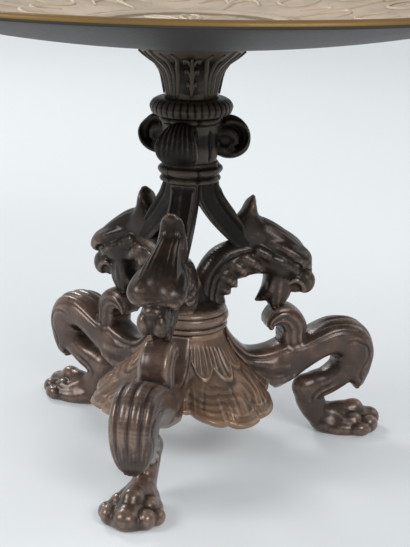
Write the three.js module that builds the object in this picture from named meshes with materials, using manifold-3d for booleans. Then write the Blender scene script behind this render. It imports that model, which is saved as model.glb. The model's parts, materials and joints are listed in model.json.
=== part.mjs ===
// A bronze tazza: a wide shallow dish on a leafy turned stem, which three crested beasts carry on a
// leaf-cut bell with three lion-footed legs.
// Millimetres, +Z up. The floor is z = 0, the stem stands on the Z axis and the front leg points along -Y.
import * as THREE from "three";
import { mergeVertices } from "three/addons/utils/BufferGeometryUtils.js";
import Module from "manifold-3d";

const wasm = await Module();
wasm.setup();

// Heights of the stack, each stage on the one below it
const crownHeight = 52; // top of the leaf bell above the floor
const hubHeight = 9;
const cageHeight = 51.5; // beasts and struts together, from the hub to the stem ring
const stemRingHeight = 8.5;
const capitalHeight = 15;
const abacusHeight = 2.5;
const collarHeight = 7;
const calyxHeight = 23.5;
const dishHeight = 22.5;

// Clearances and joints
const gap = 0.3; // between castings that seat on each other
const pinRadius = 1.7;
const pinDepth = 4.5;
const studRadius = 3;
const blindFloor = 2.4; // metal left at the end of a threaded bore

// Dish
const dishRadius = 145;
const dishWall = 2.2; // at the rim
const rimBead = 2.2; // radius of the rounded rim
const dishFloorThickness = 4.4;
const dishFieldRadius = 36; // flat field in the middle
const fieldRingHeight = 1.6;
const fieldRingWidth = 3.4;
const dishCurve = 1.83; // the power by which the dish rises to its rim
const dishSteps = 4;
const reliefHeight = 0.7; // of the scrolls and the rosette inside the dish
const reliefWidth = 2.6;
const scrollPairs = 8;
const scrollRadius = 90; // where the scrolls' eyes lie
const scrollCurl = 15;
const scrollTurn = 6.6; // how far a scroll turns, in radians
const scrollSteps = 10;
const rosetteRadius = 30;
const rosettePetals = 10;
const dishBossRadius = 9;
const dishBossDepth = 5;

// Calyx, the leafy neck under the dish
const calyxFootRadius = 11.3;
const calyxLipRadius = 24.5;
const calyxWaistShare = 0.42; // height of the straight part as a share of the calyx
const calyxLeaves = 6;
const calyxRelief = 0.9;

// Gadrooned collar and the abacus under it
const collarRadius = 16.2;
const collarNeckRadius = 11.8;
const gadroons = 18;
const gadroonDepth = 0.9;
const abacusRadius = 12.6;
const abacusHollow = 0.9; // how far each of its three sides is drawn in

// Capital with its three volutes
const capitalRadius = 9;
const voluteRadius = 8.4;
const voluteReach = 23.6; // outermost point from the axis
const voluteTopWidth = 14.4;
const voluteFootWidth = 9;
const voluteGroove = 1.1; // depth of the spiral cut in each cheek
const voluteBand = 2.3; // width of the rim left outside the spiral
const spiralTurns = 1.25;

// Stem ring under the capital
const stemRingRadius = 12.7;
const stemRingNeck = 10.9;

// Struts, three fluted bars that spread from the stem ring to the beasts' napes
const strutTopOffset = 6.5; // spine from the axis at the stem ring
const strutWidth = 11;
const strutDepth = 9;
const strutFlute = 1.1;
const strutRun = 30; // length of the spine that the strut and the nape's boss share
const strutSeam = 0.63; // where along that spine the strut ends

// Beasts, measured from the hub's top and the axis
const neckFootOffset = 8.7;
const neckWidth = 12.6;
const neckDepth = 12.6;
const napeOffset = 23;
const napeHeight = 27;
const browOffset = 45;
const browHeight = 18.5;
const headWidth = 22;
const headDepth = 15;
const muzzleOffset = 47;
const muzzleHeight = 9;
const muzzleWidth = 13;
const jawOffset = 36;
const chinDrop = 2.6; // the chin hangs this far below the hub's top
const jawWidth = 10.4;
const jawDepth = 8.6;
const crestHeight = 43.6;
const crestWidth = 9.6;
const crestOffset = 26;

// Hub ring between the bell and the beasts
const hubRadius = 16.4;
const hubBeadRadius = 14.9;
const hubNeckRadius = 15.2;

// Leaf bell, the cast skirt over the legs' roots
const bellEdgeRadius = 40.2;
const bellEdgeHeight = 20;
const bellWall = 3;
const bellScallops = 15;
const scallopDepth = 2.2;
const leafRelief = 0.8;
const crownThickness = 6.5;
const edgeLift = 5; // how far the edge draws back beside the legs
const screwBossRadius = 4.6;
const screwBossLength = 9;
const screwSeatOffset = 19.5; // where the leg screws' heads bear, from the axis
const screwHeight = 31.5;

// Legs, from the floor and the axis
const rootOffset = 24;
const rootHeight = 31.5;
const rootWidth = 20;
const rootDepth = 19;
const thighOffset = 47;
const thighHeight = 35.5;
const kneeEyeOffset = 62; // the hollow that the knee bends round
const kneeEyeHeight = 33;
const kneeBend = 10.6; // spine's radius round that hollow
const kneeDepth = 17;
const kneeWidth = 18.2;
const kneeFlutes = 3;
const kneeFluteDepth = 0.9;
const leafTipHeight = 18.4;
const leafTipOffset = 75.4;
const shankDepth = 11.6;
const shankWidth = 10.8;
const hockOffset = 53;
const hockHeight = 19.6;
const heelOffset = 60;
const toeReach = 85.5;
const pawWidth = 25;
const pawHeight = 15.4;
const toeHeight = 9.4;
const scrollEyeOffset = 37.8;
const scrollBend = 6.3; // spine's radius round the scroll's eye
const scrollDepth = 8.6;
const scrollWidth = 13.8;

// Fasteners
const boltHeadRadius = 6;
const boltHeadHeight = 4.5;
const washerRadius = 8;
const washerThickness = 1.5;
const screwRadius = 2;
const screwHeadRadius = 3.5;
const screwHeadHeight = 2.6;
const screwLength = 20;

// Fineness of the facets
const dishSegments = 48;
const ringSegments = 24;
const bellSteps = 6;
const smallSegments = 8;

// The legs point to the front, to the right rear and to the left rear.
const legNames = ["front", "right", "left"];
const legTurns = [-Math.PI / 2, Math.PI / 6, (5 * Math.PI) / 6];

// Heights that follow from the stack
const hubTop = crownHeight + hubHeight;
const cageTop = hubTop + cageHeight;
const capitalFoot = cageTop + stemRingHeight;
const abacusFoot = capitalFoot + capitalHeight;
const collarFoot = abacusFoot + abacusHeight;
const calyxFoot = collarFoot + collarHeight;
const dishFoot = calyxFoot + calyxHeight;
const rimHeight = dishFoot + dishHeight;
const dishFloor = dishFoot + dishFloorThickness;
const chinHeight = hubTop - chinDrop;

// Solids

/** A closed solid from a three.js geometry, with its faces turned outwards. */
function solidOf(geometry) {
  const bare = geometry.index ? geometry.toNonIndexed() : geometry.clone();
  bare.deleteAttribute("normal");
  bare.deleteAttribute("uv");
  const merged = mergeVertices(bare, 1e-4);
  const corners = merged.index.array;
  const faces = [];
  for (let i = 0; i < corners.length; i += 3) {
    const [a, b, c] = [corners[i], corners[i + 1], corners[i + 2]];
    if (a !== b && b !== c && c !== a) faces.push([a, b, c]);
  }
  const at = (i) => new THREE.Vector3().fromBufferAttribute(merged.attributes.position, i);
  const volume = faces.reduce((sum, [a, b, c]) => sum + at(a).dot(at(b).cross(at(c))), 0);
  const turned = volume < 0 ? faces.map(([a, b, c]) => [a, c, b]) : faces;
  return new wasm.Manifold(
    new wasm.Mesh({
      numProp: 3,
      vertProperties: new Float32Array(merged.attributes.position.array),
      triVerts: new Uint32Array(turned.flat()),
    }),
  );
}

/** A three.js geometry from a solid. */
function geometryOf(solid) {
  const mesh = solid.getMesh();
  const points = new Float32Array(mesh.numVert * 3);
  for (let i = 0; i < mesh.numVert; i++) {
    points.set(mesh.vertProperties.subarray(i * mesh.numProp, i * mesh.numProp + 3), i * 3);
  }
  const geometry = new THREE.BufferGeometry();
  geometry.setAttribute("position", new THREE.BufferAttribute(points, 3));
  geometry.setIndex(new THREE.BufferAttribute(new Uint32Array(mesh.triVerts), 1));
  geometry.computeVertexNormals();
  return geometry;
}

/** One solid from several that run into each other. */
function joined(...solids) {
  return solids.reduce((whole, next) => whole.add(next));
}

/** A geometry from rows of points: row i joins row i + 1, and each row closes on itself. */
function skin(rows, closedAlong) {
  const count = rows[0].length;
  const points = rows.flat();
  const faces = [];
  const last = closedAlong ? rows.length : rows.length - 1;
  for (let i = 0; i < last; i++) {
    const next = (i + 1) % rows.length;
    for (let j = 0; j < count; j++) {
      const side = (j + 1) % count;
      const [a, b] = [i * count + j, i * count + side];
      const [c, d] = [next * count + j, next * count + side];
      faces.push(a, b, d, a, d, c);
    }
  }
  if (!closedAlong) {
    for (const [row, flip] of [[0, true], [rows.length - 1, false]]) {
      const middle = rows[row].reduce((sum, p) => sum.add(p), new THREE.Vector3());
      points.push(middle.divideScalar(count));
      for (let j = 0; j < count; j++) {
        const [a, b] = [row * count + j, row * count + ((j + 1) % count)];
        faces.push(points.length - 1, flip ? b : a, flip ? a : b);
      }
    }
  }
  const geometry = new THREE.BufferGeometry().setFromPoints(points);
  geometry.setIndex(faces);
  return geometry;
}

/** A solid turned about Z from a profile of [radius, height] that closes on itself or on the axis. */
function turned(profile, segments = ringSegments) {
  const points = profile.map(([r, z]) => new THREE.Vector2(r, z));
  if (profile[0][0] > 0) points.push(points[0].clone());
  return solidOf(new THREE.LatheGeometry(points, segments).rotateX(Math.PI / 2));
}

/** A ring whose closed profile of [radius, height] changes with the angle from the front leg. */
function turnedByAngle(profileAt, segments) {
  const rows = Array.from({ length: segments }, (_, i) => {
    const fromFront = (i / segments) * 2 * Math.PI;
    const angle = legTurns[0] + fromFront;
    const turn = (r, z) => new THREE.Vector3(r * Math.cos(angle), r * Math.sin(angle), z);
    return profileAt(fromFront).map(([r, z]) => turn(r, z));
  });
  return solidOf(skin(rows, true));
}

/** A cylinder from one point to another. */
function rod(from, to, radius, segments = smallSegments) {
  const along = to.clone().sub(from);
  const shape = new THREE.CylinderGeometry(radius, radius, along.length(), segments);
  const up = new THREE.Vector3(0, 1, 0);
  shape.applyQuaternion(new THREE.Quaternion().setFromUnitVectors(up, along.clone().normalize()));
  const middle = from.clone().add(to).multiplyScalar(0.5);
  return solidOf(shape.translate(middle.x, middle.y, middle.z));
}

/** An upright cylinder about (x, 0) from one height to another. */
function post(x, low, high, radius, segments = smallSegments) {
  return rod(new THREE.Vector3(x, 0, low), new THREE.Vector3(x, 0, high), radius, segments);
}

/** An ellipsoid about (x, y, z), tipped about Y by tilt. */
function ball([x, y, z], [rx, ry, rz], tilt = 0) {
  const shape = new THREE.SphereGeometry(1, 8, 5).rotateX(Math.PI / 2);
  return solidOf(shape.scale(rx, ry, rz).rotateY(tilt).translate(x, y, z));
}

/** A rounded section: unit points [across, out], squarer as power grows. */
function rounded(count, power = 2) {
  const bulge = (v) => Math.sign(v) * Math.abs(v) ** (2 / power);
  return Array.from({ length: count }, (_, i) => {
    const angle = ((i + 0.5) / count) * 2 * Math.PI;
    return [bulge(Math.cos(angle)), bulge(Math.sin(angle))];
  });
}

/**
 * A limb swept along a spine in the XZ plane. Each station is [x, z, width, depth], and section gives unit
 * points [across, out], where out is to the left of the way the spine runs.
 */
function limb(stations, steps, section) {
  const spine = new THREE.CatmullRomCurve3(stations.map(([x, z]) => new THREE.Vector3(x, 0, z)));
  const size = new THREE.CatmullRomCurve3(stations.map(([, , w, d]) => new THREE.Vector3(w, d, 0)));
  const rows = Array.from({ length: steps + 1 }, (_, i) => {
    const share = i / steps;
    const centre = spine.getPoint(share);
    const along = spine.getTangent(share);
    const out = new THREE.Vector3(-along.z, 0, along.x);
    const { x: width, y: depth } = size.getPoint(share);
    return section(share).map(([a, b]) =>
      centre.clone().add(new THREE.Vector3(0, (a * width) / 2, 0)).addScaledVector(out, (b * depth) / 2),
    );
  });
  return solidOf(skin(rows, false));
}

/** Points of an arc in the XZ plane, from one angle to another, as [x, z]. */
function arc(x, z, radius, from, to, count) {
  return Array.from({ length: count }, (_, i) => {
    const angle = from + ((to - from) * i) / (count - 1);
    return [x + radius * Math.cos(angle), z + radius * Math.sin(angle)];
  });
}

/** A smooth run through a few [radius, height] points, as count points. */
function smoothRun(points, count) {
  const curve = new THREE.SplineCurve(points.map(([r, z]) => new THREE.Vector2(r, z)));
  return curve.getSpacedPoints(count - 1).map((p) => [p.x, p.y]);
}

// Turned stages, from the top

/** The dish: a shallow bowl with a rounded rim, a flat field inside a bead, and a threaded boss below. */
function dish() {
  const inside = dishStations();
  const outside = Array.from({ length: dishSteps + 1 }, (_, i) => {
    const radius = calyxLipRadius + ((dishRadius - calyxLipRadius) * i) / dishSteps;
    return [radius, dishUnder(radius)];
  });
  const bead = arc(dishRadius - rimBead, rimHeight - rimBead, rimBead, 0.3, Math.PI - 0.3, 3);
  const ringTop = dishFloor + fieldRingHeight;
  const plain = turned(
    [
      [0, dishFloor],
      [dishFieldRadius, dishFloor],
      [dishFieldRadius + fieldRingWidth * 0.3, ringTop],
      [dishFieldRadius + fieldRingWidth * 0.75, ringTop],
      ...inside,
      ...bead.reverse(),
      ...outside.reverse(),
      [dishBossRadius, dishFoot + gap],
      [dishBossRadius, dishFoot - dishBossDepth],
      [studRadius + gap, dishFoot - dishBossDepth],
      [studRadius + gap, dishFoot + dishFloorThickness / 2],
      [0, dishFoot + dishFloorThickness / 2],
    ],
    dishSegments,
  );
  return joined(plain, scrollRelief(), rosette());
}

/** The height of the dish's underside at a radius. */
function dishUnder(radius) {
  const share = (radius - calyxLipRadius) / (dishRadius - calyxLipRadius);
  const seat = dishFoot + gap;
  return seat + (rimHeight - rimBead - seat) * share ** dishCurve;
}

/** The dish's inner face from the field's ring out to the rim. */
function dishStations() {
  const start = dishFieldRadius + fieldRingWidth;
  const rimInner = dishRadius - 2 * rimBead;
  return Array.from({ length: dishSteps + 1 }, (_, i) => {
    const share = i / dishSteps;
    const radius = start + (rimInner - start) * share;
    const wall = dishWall + (1 - share) * (dishFloorThickness - dishWall);
    return [radius, dishUnder(radius) + wall];
  });
}

/** A ribbon of the relief seen from above, along a path of [x, y] points. */
function ribbon(path) {
  const half = reliefWidth / 2;
  const sides = [half, -half].map((offset) =>
    path.map(([x, y], i) => {
      const [before, after] = [path[Math.max(i - 1, 0)], path[Math.min(i + 1, path.length - 1)]];
      const along = new THREE.Vector2(after[0] - before[0], after[1] - before[1]).normalize();
      return new THREE.Vector2(x - along.y * offset, y + along.x * offset);
    }),
  );
  return new THREE.Shape([...sides[0], ...sides[1].reverse()]);
}

/** The raised scrolls between the field and the rim: each pair curls away from a stem between them. */
function scrollRelief() {
  const stations = dishStations();
  const raised = stations.map(([r, z]) => [r, z + reliefHeight]);
  const sunk = stations.map(([r, z]) => [r, z - reliefHeight]);
  const shell = turned([...raised, ...sunk.reverse()], dishSegments);
  const away = scrollRadius * Math.sin(Math.PI / scrollPairs / 2);
  const stem = [
    [dishFieldRadius + fieldRingWidth * 3.5, 0],
    [dishRadius - fieldRingWidth * 6.5, 0],
  ];
  const curls = [-1, 1].map((side) =>
    Array.from({ length: scrollSteps + 1 }, (_, i) => {
      const size = scrollCurl * (1 - (0.45 * i) / scrollSteps);
      const turn = (scrollTurn * i) / scrollSteps;
      return [scrollRadius + size * Math.sin(turn), side * (away - size * Math.cos(turn))];
    }),
  );
  const depth = rimHeight - dishFloor;
  const motif = joined(
    ...[stem, ...curls].map((path) => {
      const raisedUp = new THREE.ExtrudeGeometry(ribbon(path), { depth, bevelEnabled: false });
      return solidOf(raisedUp.translate(0, 0, dishFloor));
    }),
  ).intersect(shell);
  const turns = Array.from({ length: scrollPairs }, (_, i) => (360 * i) / scrollPairs);
  return joined(...turns.map((turn) => motif.rotate([0, 0, turn])));
}

/** The flat rosette raised in the middle of the dish. */
function rosette() {
  const stops = 2 * rosettePetals;
  const edge = Array.from({ length: stops }, (_, i) => {
    const radius = i % 2 ? rosetteRadius * 0.72 : rosetteRadius;
    const turn = (2 * Math.PI * i) / stops;
    return new THREE.Vector2(radius * Math.cos(turn), radius * Math.sin(turn));
  });
  const plate = { depth: 2 * reliefHeight, bevelEnabled: false };
  const raised = new THREE.ExtrudeGeometry(new THREE.Shape(edge), plate);
  return solidOf(raised.translate(0, 0, dishFloor - reliefHeight));
}

/** The calyx: a flaring neck of leaves with raised ribs, hollow at the top for the dish's boss. */
function calyx() {
  const waist = calyxHeight * calyxWaistShare;
  const lip = 1.8;
  const run = smoothRun(
    [
      [calyxFootRadius, gap],
      [calyxFootRadius + 0.9, waist * 0.6],
      [calyxFootRadius + 2.6, waist * 1.2],
      [calyxLipRadius - 5.5, calyxHeight * 0.76],
      [calyxLipRadius - 0.6, calyxHeight - lip],
    ],
    6,
  );
  const recess = dishBossDepth + gap;
  return turnedByAngle((fromFront) => {
    const wave = Math.abs(Math.cos((calyxLeaves / 2) * fromFront));
    const outside = run.map(([r, z], i) => {
      const fade = Math.sin((Math.PI * i) / (run.length - 1));
      return [r - calyxRelief * fade * (1 - wave), calyxFoot + z];
    });
    return [
      [studRadius + gap, calyxFoot + gap],
      ...outside,
      [calyxLipRadius, dishFoot],
      [dishBossRadius + gap, dishFoot],
      [dishBossRadius + gap, dishFoot - recess],
      [studRadius + gap, dishFoot - recess],
    ];
  }, calyxLeaves * 6);
}

/** The collar: a bell-shaped knop cut with gadroons. */
function collar() {
  const shape = [
    [collarRadius - 0.9, gap],
    [collarRadius, 0.9],
    [collarRadius - 0.1, collarHeight * 0.4],
    [collarRadius - 0.9, collarHeight * 0.68],
    [collarRadius - 2.4, collarHeight * 0.9],
    [collarNeckRadius, collarHeight],
  ];
  return turnedByAngle((fromFront) => {
    const groove = 1 - Math.abs(Math.cos((gadroons / 2) * fromFront));
    const outside = shape.map(([r, z], i) => {
      const cut = i > 0 && i < shape.length - 1 ? gadroonDepth * groove : 0;
      return [r - cut, collarFoot + z];
    });
    return [[studRadius + gap, collarFoot + gap], ...outside, [studRadius + gap, calyxFoot]];
  }, gadroons * 2);
}

/** The abacus: a thin moulded plate whose three sides are drawn in between the volutes. */
function abacus() {
  return turnedByAngle((fromFront) => {
    const edge = abacusRadius - abacusHollow * Math.sin(1.5 * fromFront) ** 2;
    return [
      [studRadius + gap, abacusFoot + gap],
      [edge - 0.8, abacusFoot + gap],
      [edge, abacusFoot + abacusHeight * 0.35],
      [edge, abacusFoot + abacusHeight * 0.7],
      [edge - 0.5, collarFoot],
      [studRadius + gap, collarFoot],
    ];
  }, ringSegments);
}

/** The capital's core, a short bell between the stem ring and the abacus. */
function capitalCore() {
  return turned(
    [
      [studRadius + gap, capitalFoot + gap],
      [capitalRadius + 1.4, capitalFoot + gap],
      [capitalRadius, capitalFoot + capitalHeight * 0.2],
      [capitalRadius, capitalFoot + capitalHeight],
      [studRadius + gap, capitalFoot + capitalHeight],
    ],
    18,
  );
}

/** The stem ring: a torus between fillets, with a blind bore for the stud and holes for the struts' pins. */
function stemRing() {
  const torus = stemRingRadius - stemRingNeck;
  const bulge = arc(stemRingNeck, cageTop + stemRingHeight * 0.56, torus, -Math.PI / 2.2, Math.PI / 2.2, 5);
  const ring = turned([
    [0, cageTop],
    [stemRingNeck - 0.3, cageTop],
    [stemRingNeck + 0.6, cageTop + 0.8],
    [stemRingNeck + 0.6, cageTop + 2],
    ...bulge,
    [stemRingNeck - 0.2, capitalFoot - 0.9],
    [stemRingNeck - 0.2, capitalFoot],
    [studRadius + gap, capitalFoot],
    [studRadius + gap, cageTop + blindFloor],
    [0, cageTop + blindFloor],
  ]);
  return threefold(ring, () =>
    post(strutTopOffset, cageTop - 1, cageTop + pinDepth + gap, pinRadius + gap, 6),
  );
}

/** The hub ring: a heavy torus under a bead, with a blind bore for the bolt and holes for the pins. */
function hubRing() {
  const torus = 2.9;
  const bulge = arc(hubRadius - torus, crownHeight + 4.4, torus, -Math.PI / 2.4, Math.PI / 2.6, 5);
  const ring = turned([
    [studRadius + gap, crownHeight + gap],
    [hubNeckRadius, crownHeight + gap],
    [hubNeckRadius, crownHeight + 1.2],
    ...bulge,
    [hubBeadRadius - 0.6, hubTop - 1.8],
    [hubBeadRadius, hubTop - 1],
    [hubBeadRadius - 0.5, hubTop],
    [0, hubTop],
    [0, hubTop - blindFloor],
    [studRadius + gap, hubTop - blindFloor],
  ]);
  return threefold(ring, () =>
    post(neckFootOffset, hubTop - pinDepth - gap, hubTop + 1, pinRadius + gap, 6),
  );
}

/** Cuts the same tool from a solid in the directions of the three legs. */
function threefold(solid, tool) {
  return legTurns.reduce((rest, turn) => {
    return rest.subtract(tool().rotate([0, 0, THREE.MathUtils.radToDeg(turn)]));
  }, solid);
}

// The volutes

/** The outline of a volute in the XZ plane: a disc that runs back to the capital. */
function voluteOutline() {
  const x = voluteReach - voluteRadius;
  const z = collarFoot - gap - voluteRadius;
  const round = arc(x, z, voluteRadius, Math.PI * 0.72, -Math.PI * 0.62, 12);
  const foot = capitalFoot + 2.4;
  const shape = new THREE.Shape(round.map(([px, pz]) => new THREE.Vector2(px, pz)));
  shape.quadraticCurveTo(capitalRadius + 2.2, foot + 0.2, capitalRadius, foot);
  shape.lineTo(capitalRadius - 2, foot);
  shape.lineTo(capitalRadius - 2, abacusFoot);
  return shape;
}

/** A closed band that follows a spiral from the volute's rim to its eye. */
function spiralBand() {
  const x = voluteReach - voluteRadius;
  const z = collarFoot - gap - voluteRadius;
  const steps = 12;
  const radiusAt = (share) => (voluteRadius - voluteBand) * (1 - 0.72 * share);
  const side = (offset) =>
    Array.from({ length: steps + 1 }, (_, i) => {
      const share = i / steps;
      const angle = Math.PI * 0.7 - share * spiralTurns * 2 * Math.PI;
      const radius = radiusAt(share) - offset * (1 - 0.4 * share);
      return new THREE.Vector2(x + radius * Math.cos(angle), z + radius * Math.sin(angle));
    });
  return new THREE.Shape([...side(0), ...side(1.5).reverse()]);
}

/** An outline in the XZ plane, pulled across Y between two places. */
function across(shape, from, to) {
  const options = { depth: to - from, bevelEnabled: false, curveSegments: 5 };
  const pulled = new THREE.ExtrudeGeometry(shape, options);
  return solidOf(pulled.rotateX(Math.PI / 2).translate(0, to, 0));
}

/** A volute: a scroll with a spiral cut in each cheek, narrower at the foot, seated on the capital. */
function volute() {
  const half = voluteTopWidth / 2;
  const body = across(voluteOutline(), -half, half);
  const low = collarFoot - gap - 2 * voluteRadius;
  const taper = new THREE.Shape([
    new THREE.Vector2(-voluteFootWidth / 2, low - 1),
    new THREE.Vector2(voluteFootWidth / 2, low - 1),
    new THREE.Vector2(half, low + voluteRadius),
    new THREE.Vector2(half, collarFoot),
    new THREE.Vector2(-half, collarFoot),
    new THREE.Vector2(-half, low + voluteRadius),
  ]);
  const front = new THREE.ExtrudeGeometry(taper, { depth: voluteReach + 2, bevelEnabled: false });
  const trimmed = body.intersect(solidOf(front.rotateX(Math.PI / 2).rotateZ(Math.PI / 2)));
  const cuts = [-1, 1].map((sideways) => {
    const [from, to] = [half - voluteGroove, half + 1].map((y) => y * sideways).sort((a, b) => a - b);
    return across(spiralBand(), from, to);
  });
  const seat = post(0, capitalFoot - 1, collarFoot + 1, capitalRadius + gap, 24);
  const edge = post(0, abacusFoot - gap, collarFoot + 1, abacusRadius + gap, 24);
  const foot = post(0, capitalFoot - 1, capitalFoot + capitalHeight * 0.2, capitalRadius + 1.4 + gap, 24);
  return trimmed.subtract(cuts[0]).subtract(cuts[1]).subtract(seat).subtract(edge).subtract(foot);
}

// The struts

/** The spine that the strut and the nape's boss share, as limb stations. */
function strutStations(from, to, count) {
  const spine = new THREE.CubicBezierCurve(
    new THREE.Vector2(strutTopOffset, cageTop + gap),
    new THREE.Vector2(strutTopOffset, cageTop - 8),
    new THREE.Vector2(napeOffset - 9.5, hubTop + napeHeight + 8.5),
    new THREE.Vector2(napeOffset, hubTop + napeHeight - 0.5),
  );
  return Array.from({ length: count }, (_, i) => {
    const { x, y } = spine.getPoint(from + ((to - from) * i) / (count - 1));
    return [x, y, strutWidth, strutDepth];
  });
}

/** The strut's section: a square bar with a channel sunk in its outer and inner faces. */
function strutSection() {
  const channel = 1 - (2 * strutFlute) / strutDepth;
  return [
    [1, -0.82], [1, 0.82], [0.82, 1], [0.55, 1], [0.4, channel], [-0.4, channel], [-0.55, 1], [-0.82, 1],
    [-1, 0.82], [-1, -0.82], [-0.82, -1], [0.82, -1],
  ];
}

/** The part of space that belongs to one of the three directions, a little short of its neighbours'. */
function ownThird(low, high) {
  const reach = dishRadius;
  const start = gap;
  const shape = new THREE.Shape([
    new THREE.Vector2(start, 0),
    new THREE.Vector2(start + reach * 0.5, -reach * Math.sin(Math.PI / 3)),
    new THREE.Vector2(start + reach * 2, -reach),
    new THREE.Vector2(start + reach * 2, reach),
    new THREE.Vector2(start + reach * 0.5, reach * Math.sin(Math.PI / 3)),
  ]);
  const third = new THREE.ExtrudeGeometry(shape, { depth: high - low, bevelEnabled: false });
  return solidOf(third.translate(0, 0, low));
}

/** A strut, with the hole for its pin in its head. */
function strut() {
  const bar = limb(strutStations(0, strutSeam, 6), 5, strutSection);
  const hole = post(strutTopOffset, cageTop - pinDepth - gap, cageTop + 1, pinRadius + gap);
  return bar.subtract(hole).intersect(ownThird(hubTop, cageTop - gap));
}

// The beasts

/** The neck: it rises from the hub, arches outwards and carries the head. */
function neck() {
  const section = rounded(8, 2.8);
  const column = limb(
    [
      [neckFootOffset, hubTop - gap, neckWidth, neckDepth],
      [neckFootOffset + 0.1, hubTop + 5, neckWidth, neckDepth],
      [neckFootOffset + 2.5, hubTop + 12, neckWidth, neckDepth + 1.2],
      [neckFootOffset + 7.8, hubTop + 17.3, neckWidth, neckDepth + 2.6],
      [napeOffset, hubTop + 20.2, neckWidth + 0.4, neckDepth + 3.2],
      [napeOffset + 9, hubTop + 19.4, neckWidth + 2, neckDepth + 1.4],
    ],
    5,
    () => section,
  );
  return column.intersect(ownThird(hubTop + gap, cageTop));
}

/** The head from the nape to the brow, low and wide like a cat's. */
function skull() {
  const section = rounded(10, 2.3);
  return limb(
    [
      [napeOffset, hubTop + napeHeight + 2, crestWidth + 1, headDepth * 0.8],
      [napeOffset + 7, hubTop + napeHeight - 0.7, crestWidth + 3, headDepth * 0.97],
      [napeOffset + 14, hubTop + napeHeight - 4.5, headWidth * 0.79, headDepth],
      [browOffset - 2, hubTop + browHeight + 0.4, headWidth, headDepth * 0.86],
      [browOffset + 1.6, hubTop + browHeight - 1.6, headWidth * 0.88, headDepth * 0.6],
      [browOffset + 3.8, hubTop + browHeight - 2.9, headWidth * 0.45, headDepth * 0.28],
    ],
    6,
    () => section,
  );
}

/** The crest: a blade that stands up from the forehead, rounded like a leaf seen from the front. */
function crest() {
  const tip = hubTop + crestHeight;
  const section = rounded(8);
  return limb(
    [
      [crestOffset + 1.6, hubTop + napeHeight, crestWidth + 0.6, 11],
      [crestOffset - 0.4, hubTop + napeHeight + 6, crestWidth + 0.4, 7.6],
      [crestOffset - 0.9, tip - 6, crestWidth, 4.8],
      [crestOffset - 0.2, tip - 2, crestWidth * 0.74, 2.6],
      [crestOffset + 0.2, tip, crestWidth * 0.3, 0.9],
    ],
    5,
    () => section,
  );
}

/** The muzzle, the cheeks and the brows. */
function face() {
  const muzzleHalf = muzzleWidth / 2;
  const nose = [muzzleOffset, 0, hubTop + muzzleHeight - 0.6];
  const cheek = [browOffset - 7.5, 0, hubTop + muzzleHeight + 5];
  const features = [
    ball(nose, [6.4, muzzleHalf, 8.4], 0.3),
    ball(cheek, [8.4, headWidth * 0.4, 6.6], 0.3),
  ];
  for (const side of [-1, 1]) {
    const brow = [browOffset - 0.5, side * headWidth * 0.24, hubTop + browHeight + 1.6];
    features.push(ball(brow, [5, headWidth * 0.2, 3.2], 0.6));
  }
  return joined(...features);
}

/** The lower jaw and the beard, which hang open down to the scroll below. */
function jaw() {
  const section = rounded(8, 2.4);
  const blade = limb(
    [
      [jawOffset - 1, hubTop + muzzleHeight + 7, jawWidth + 3, jawDepth + 1.5],
      [jawOffset - 0.6, hubTop + muzzleHeight - 3.6, jawWidth, jawDepth],
      [jawOffset + 0.6, chinHeight + 2.6, jawWidth * 0.9, jawDepth],
      [jawOffset + 1, chinHeight, jawWidth * 0.66, jawDepth * 0.7],
    ],
    4,
    () => section,
  );
  const beard = limb(
    [
      [jawOffset + 0.5, chinHeight + 4.6, jawWidth * 0.7, 5.6],
      [jawOffset - 3.6, chinHeight + 3.8, jawWidth * 0.5, 4.2],
      [jawOffset - 7, chinHeight + 2.8, 1.6, 1.2],
    ],
    3,
    () => section,
  );
  return joined(blade, beard);
}

/** The gap between the jaws, as a tool to cut with. */
function mouth() {
  return ball([muzzleOffset - 4.8, 0, hubTop + muzzleHeight - 5.2], [3, muzzleWidth, 4.2], 0.3);
}

/** A beast: neck, head, crest and jaws in one casting, with the boss that the strut stands on. */
function beast() {
  const seam = strutSeam + gap / strutRun;
  const boss = limb(strutStations(seam, 1, 4), 2, () => rounded(8, 4));
  const whole = joined(neck(), skull(), crest(), face(), jaw(), boss);
  const hole = post(neckFootOffset, hubTop - 1, hubTop + pinDepth + gap, pinRadius + gap, 6);
  return whole.subtract(mouth()).subtract(hole);
}

// The leaf bell

/** The bell's smooth outline from the hub down to its edge, as count [radius, height] points. */
function bellRun(grown, count) {
  const points = [
    [hubNeckRadius, crownHeight],
    [hubNeckRadius + 2.4, crownHeight - 7],
    [hubNeckRadius + 6.6, crownHeight - 13.2],
    [bellEdgeRadius - 12, bellEdgeHeight + 12.2],
    [bellEdgeRadius - 5.2, bellEdgeHeight + 6],
    [bellEdgeRadius, bellEdgeHeight],
  ];
  return smoothRun(points, count).map(([r, z]) => [r + grown * 0.7, z + grown * 0.7]);
}

/** The bell's outline at an angle from the front leg, drawn back beside the legs and in the scallops. */
function bellOutline(fromFront, leafed, grown) {
  const nearLeg = (1 + Math.cos(3 * fromFront)) / 2;
  const hollow = leafed ? 1 - Math.abs(Math.sin((bellScallops / 2) * fromFront)) : 0;
  return bellRun(grown, bellSteps).map(([r, z], i) => {
    const share = i / (bellSteps - 1);
    const relief = leafRelief * Math.sin(Math.PI * share) * hollow;
    const drawn = share ** 4 * (scallopDepth * hollow + edgeLift * nearLeg);
    return [r - relief - drawn, z - relief + drawn * 0.6];
  });
}

/** The bell without its leaves, filled, as a tool to cut the legs' roots with. */
function bellFilled(grown) {
  const inner = hubNeckRadius / 2;
  return turnedByAngle((fromFront) => {
    const run = bellOutline(fromFront, false, grown);
    const edge = bellEdgeHeight - 2;
    return [[inner, crownHeight + grown], ...run, [run.at(-1)[0], edge], [inner, edge]];
  }, ringSegments * 2);
}

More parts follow.
